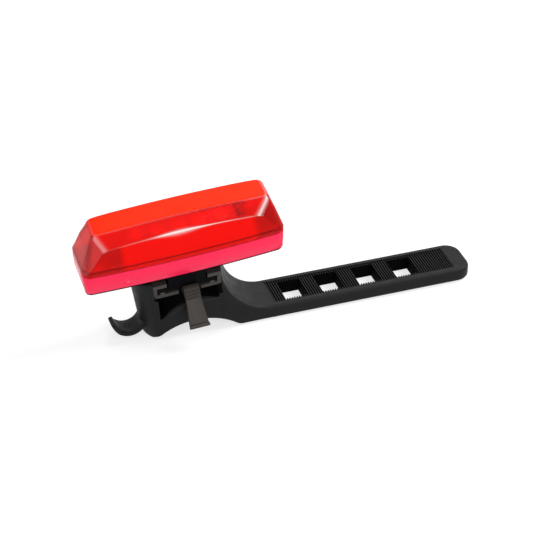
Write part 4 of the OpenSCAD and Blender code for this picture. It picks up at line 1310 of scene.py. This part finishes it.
@dataclass
class ReleaseTab:
    """Release tab: tongue from its root, ridged catch and a lever with a lip at its end."""

    seat: Seat
    finish: Moulded
    middle: float = 0.9
    wid: float = 5.6
    end_wid: float = 7.2
    root_y: float = 1.6
    root_z: float = -8.0
    tongue_t: float = 1.0
    catch_y: float = -9.3
    catch_top: float = -5.0
    catch_len: float = 1.1
    lever_y: float = -13.0
    lever_len: float = 10.2
    lever_t: float = 1.4
    lever_bend: Pair = (0.9, 1.7)
    lip_len: float = 1.3
    lip_t: float = 0.7
    root_round: float = 0.75
    ridge_t: float = 0.3
    ridge_count: float = 3.6
    ridge_start: float = 0.6
    ridge_power: float = 0.7
    ridge_end: float = 0.92
    widened: float = 0.72
    edge_r: float = 0.35
    edge_share: float = 0.12
    step: float = 0.11

    def outline(self) -> Array:
        """Side outline of the tab, with ridges as the upper halves of a sine on the catch's slope.

        Returns:
            Points y and z, counter-clockwise, shape (points, 2).
        """
        low, high = self.root_z - self.tongue_t / 2, self.root_z + self.tongue_t / 2
        d = math.sqrt(0.5)

        def lever(along: float, across: float) -> Pair:
            """Point of the lever from its start, along and across it."""
            return self.lever_y + d * (across - along), low - d * (across + along)

        end, lip = self.lever_len, self.lever_len - self.lip_len
        u = np.linspace(0.02, 0.98, 60)
        foot, head = np.array([self.lever_y, low]), np.array([self.catch_y - self.catch_len, self.catch_top])
        run = head - foot
        out = np.array([run[1], -run[0]]) / np.linalg.norm(run) * -1
        wave = np.maximum(np.sin(u * self.ridge_count * 2 * math.pi - self.ridge_start), 0)
        wave = self.ridge_t * wave**self.ridge_power * (u < self.ridge_end)
        slope = foot + run * u[:, None] + out * wave[:, None]
        corners = np.vstack([
            [lever(end, -self.lip_t), lever(end, self.lever_t)],
            [lever(self.lever_bend[0], self.lever_t), (self.lever_y + self.lever_bend[1], low)],
            [(self.root_y, low), (self.root_y + self.root_round, self.root_z), (self.root_y, high)],
            [(self.catch_y, high), (self.catch_y, self.catch_top)],
            slope[::-1],
            [lever(lip, 0), lever(lip, -self.lip_t)],
        ])
        return eased(resampled(corners, self.step), 3)

    def build(self) -> Piece:
        """Makes the tab: its outline carried across its width, wider towards the lever's end.

        Returns:
            The new piece.
        """
        outline = self.outline()
        place, depth = rounded_stations(1.0, self.edge_share, 3)
        depth = depth * self.edge_r / self.edge_share
        loops = drawn_in(np.broadcast_to(outline, (len(place), *outline.shape)), depth[:, None])
        out = np.clip((self.lever_y - loops[..., 0]) / (self.widened * self.lever_len), 0, 1)
        half = self.wid / 2 + (self.end_wid - self.wid) / 2 * out
        points = np.stack([self.middle + place[:, None] * half, loops[..., 0], loops[..., 1]], -1)
        shell = Shell()
        shell.add_loops(self.seat.to_row(points), flip=True)
        obj = shell.build("release_lever", 45)
        obj.data.materials.append(self.finish.material())
        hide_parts("release_tab")
        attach(obj, Body.LATCH.value)
        return obj


@dataclass
class SolidDress:
    """Finish and soft edges of the solids that keep their own shape."""

    nodes: dict[str, Piece]
    joined: float = 0.002
    flat: float = 0.25
    sharp: float = 38.0
    segments: int = 2

    def dress(self, name: str, material: Material, width: float) -> None:
        """Gives a solid its material and, where width isn't 0, round edges of that width.

        Args:
            name: the solid's node.
            material: its finish.
            width: width of the soft edge in millimetres, or 0.
        """
        obj = self.nodes[name]
        obj.data.materials.clear()
        obj.data.materials.append(material)
        if not width:
            return
        join = obj.modifiers.new("join", "WELD")
        join.merge_threshold = self.joined * MM
        flat = obj.modifiers.new("flats", "DECIMATE")
        flat.decimate_type = "DISSOLVE"
        flat.angle_limit = math.radians(self.flat)
        edge = obj.modifiers.new("edges", "BEVEL")
        edge.width, edge.segments = width * MM, self.segments
        edge.limit_method, edge.angle_limit = "ANGLE", math.radians(self.sharp)
        edge.harden_normals = True
        edge.use_clamp_overlap = True


class Look(Enum):
    """Finishes of the solids that keep their own shape."""

    CLIP_PLASTIC = Moulded("clip_plastic_satin", (0.034, 0.029, 0.027), rough=(0.34, 0.46), shine=0.3)
    SKIRT = Moulded("skirt_red", (0.97, 0.018, 0.085), drift=0.04, rough=(0.2, 0.28), grain=700,
                    strength=0.05, shine=0.18)
    COVER = Moulded("cover_black", (0.002, 0.002, 0.0025), rough=(0.5, 0.6), shine=0.03)
    SEAL = Moulded("seal_rubber_red", (0.35, 0.008, 0.02), rough=(0.4, 0.55))
    STEEL = Metal("plated_steel", (0.66, 0.66, 0.68))
    BOARD = Laminate()
    EMITTER = Emitter()
    WHITE = Moulded("reflector_white", (0.93, 0.93, 0.9), drift=0.03, rough=(0.2, 0.3), grain=900)
    CHIP = Moulded("chip_resin_dark", (0.02, 0.02, 0.022), rough=(0.4, 0.55))
    SOFT = Moulded("button_rubber", (0.03, 0.03, 0.032), rough=(0.5, 0.65))
    FOIL = Metal("pouch_foil", (0.6, 0.62, 0.65), rough=(0.28, 0.45))
    FOAM = Moulded("pad_foam", (0.1, 0.1, 0.11), rough=(0.8, 0.95), grain=2600, strength=0.8)
    WIRE = Moulded("lead_jacket", (0.5, 0.02, 0.02), rough=(0.35, 0.5))
    PIN = Moulded("guide_clear", (0.97, 0.07, 0.14), drift=0.05, rough=(0.1, 0.18), shine=0.2)


def main() -> None:
    """Loads the frame, builds each sub-assembly, dresses the other solids and sets the studio."""
    logging.basicConfig(level=logging.INFO, format="%(name)s: %(message)s")
    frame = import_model()
    seat = Seat()
    clip_finish = Moulded("tab_plastic_satin", (0.023, 0.019, 0.015), rough=(0.36, 0.5), shine=0.2)
    rubber = Moulded("strap_rubber", (0.007, 0.007, 0.0074), drift=0.1, rough=(0.45, 0.6), strength=0.3,
                     shine=0.13)
    # Painted shade: darker and duller than the rubber, for the pocket, the grooves and the hole walls.
    recess = Moulded("strap_rubber_recess", (0.002, 0.002, 0.0022), drift=0.1, rough=(0.7, 0.85),
                     strength=0.3, shine=0.02)
    for piece in (RubberMount(seat, rubber, recess), Lens(seat, ClearRed()), ReleaseTab(seat, clip_finish)):
        obj = piece.build()
        LOG.info("%s: %d faces", obj.name, len(obj.data.polygons))
    dresser = SolidDress(frame["nodes"])
    looks = {
        "clip": (Look.CLIP_PLASTIC, 0.22), "housing": (Look.SKIRT, 0.4), "back_cover": (Look.COVER, 0.18),
        "lens_seal": (Look.SEAL, 0.0), "cover_seal": (Look.SEAL, 0.0), "cover_screws": (Look.STEEL, 0.0),
        "circuit_board": (Look.BOARD, 0.0), "board_screws": (Look.STEEL, 0.0), "leds": (Look.EMITTER, 0.12),
        "reflector": (Look.WHITE, 0.0), "chips": (Look.CHIP, 0.08), "tact_switch": (Look.STEEL, 0.0),
        "mode_button": (Look.SOFT, 0.3), "usb_socket": (Look.STEEL, 0.0), "port_flap": (Look.SOFT, 0.15),
        "battery": (Look.FOIL, 0.0), "battery_pad": (Look.FOAM, 0.0), "battery_leads": (Look.WIRE, 0.0),
        "charge_window": (Look.PIN, 0.0),
    }
    made = {look: look.value.material() for look in sorted(Look, key=lambda look: look.name)}
    for node, (look, width) in looks.items():
        dresser.dress(node, made[look], width)
        LOG.info("%s: %s", node, look.name.lower())
    Studio().build()


if __name__ == "__main__":
    main()
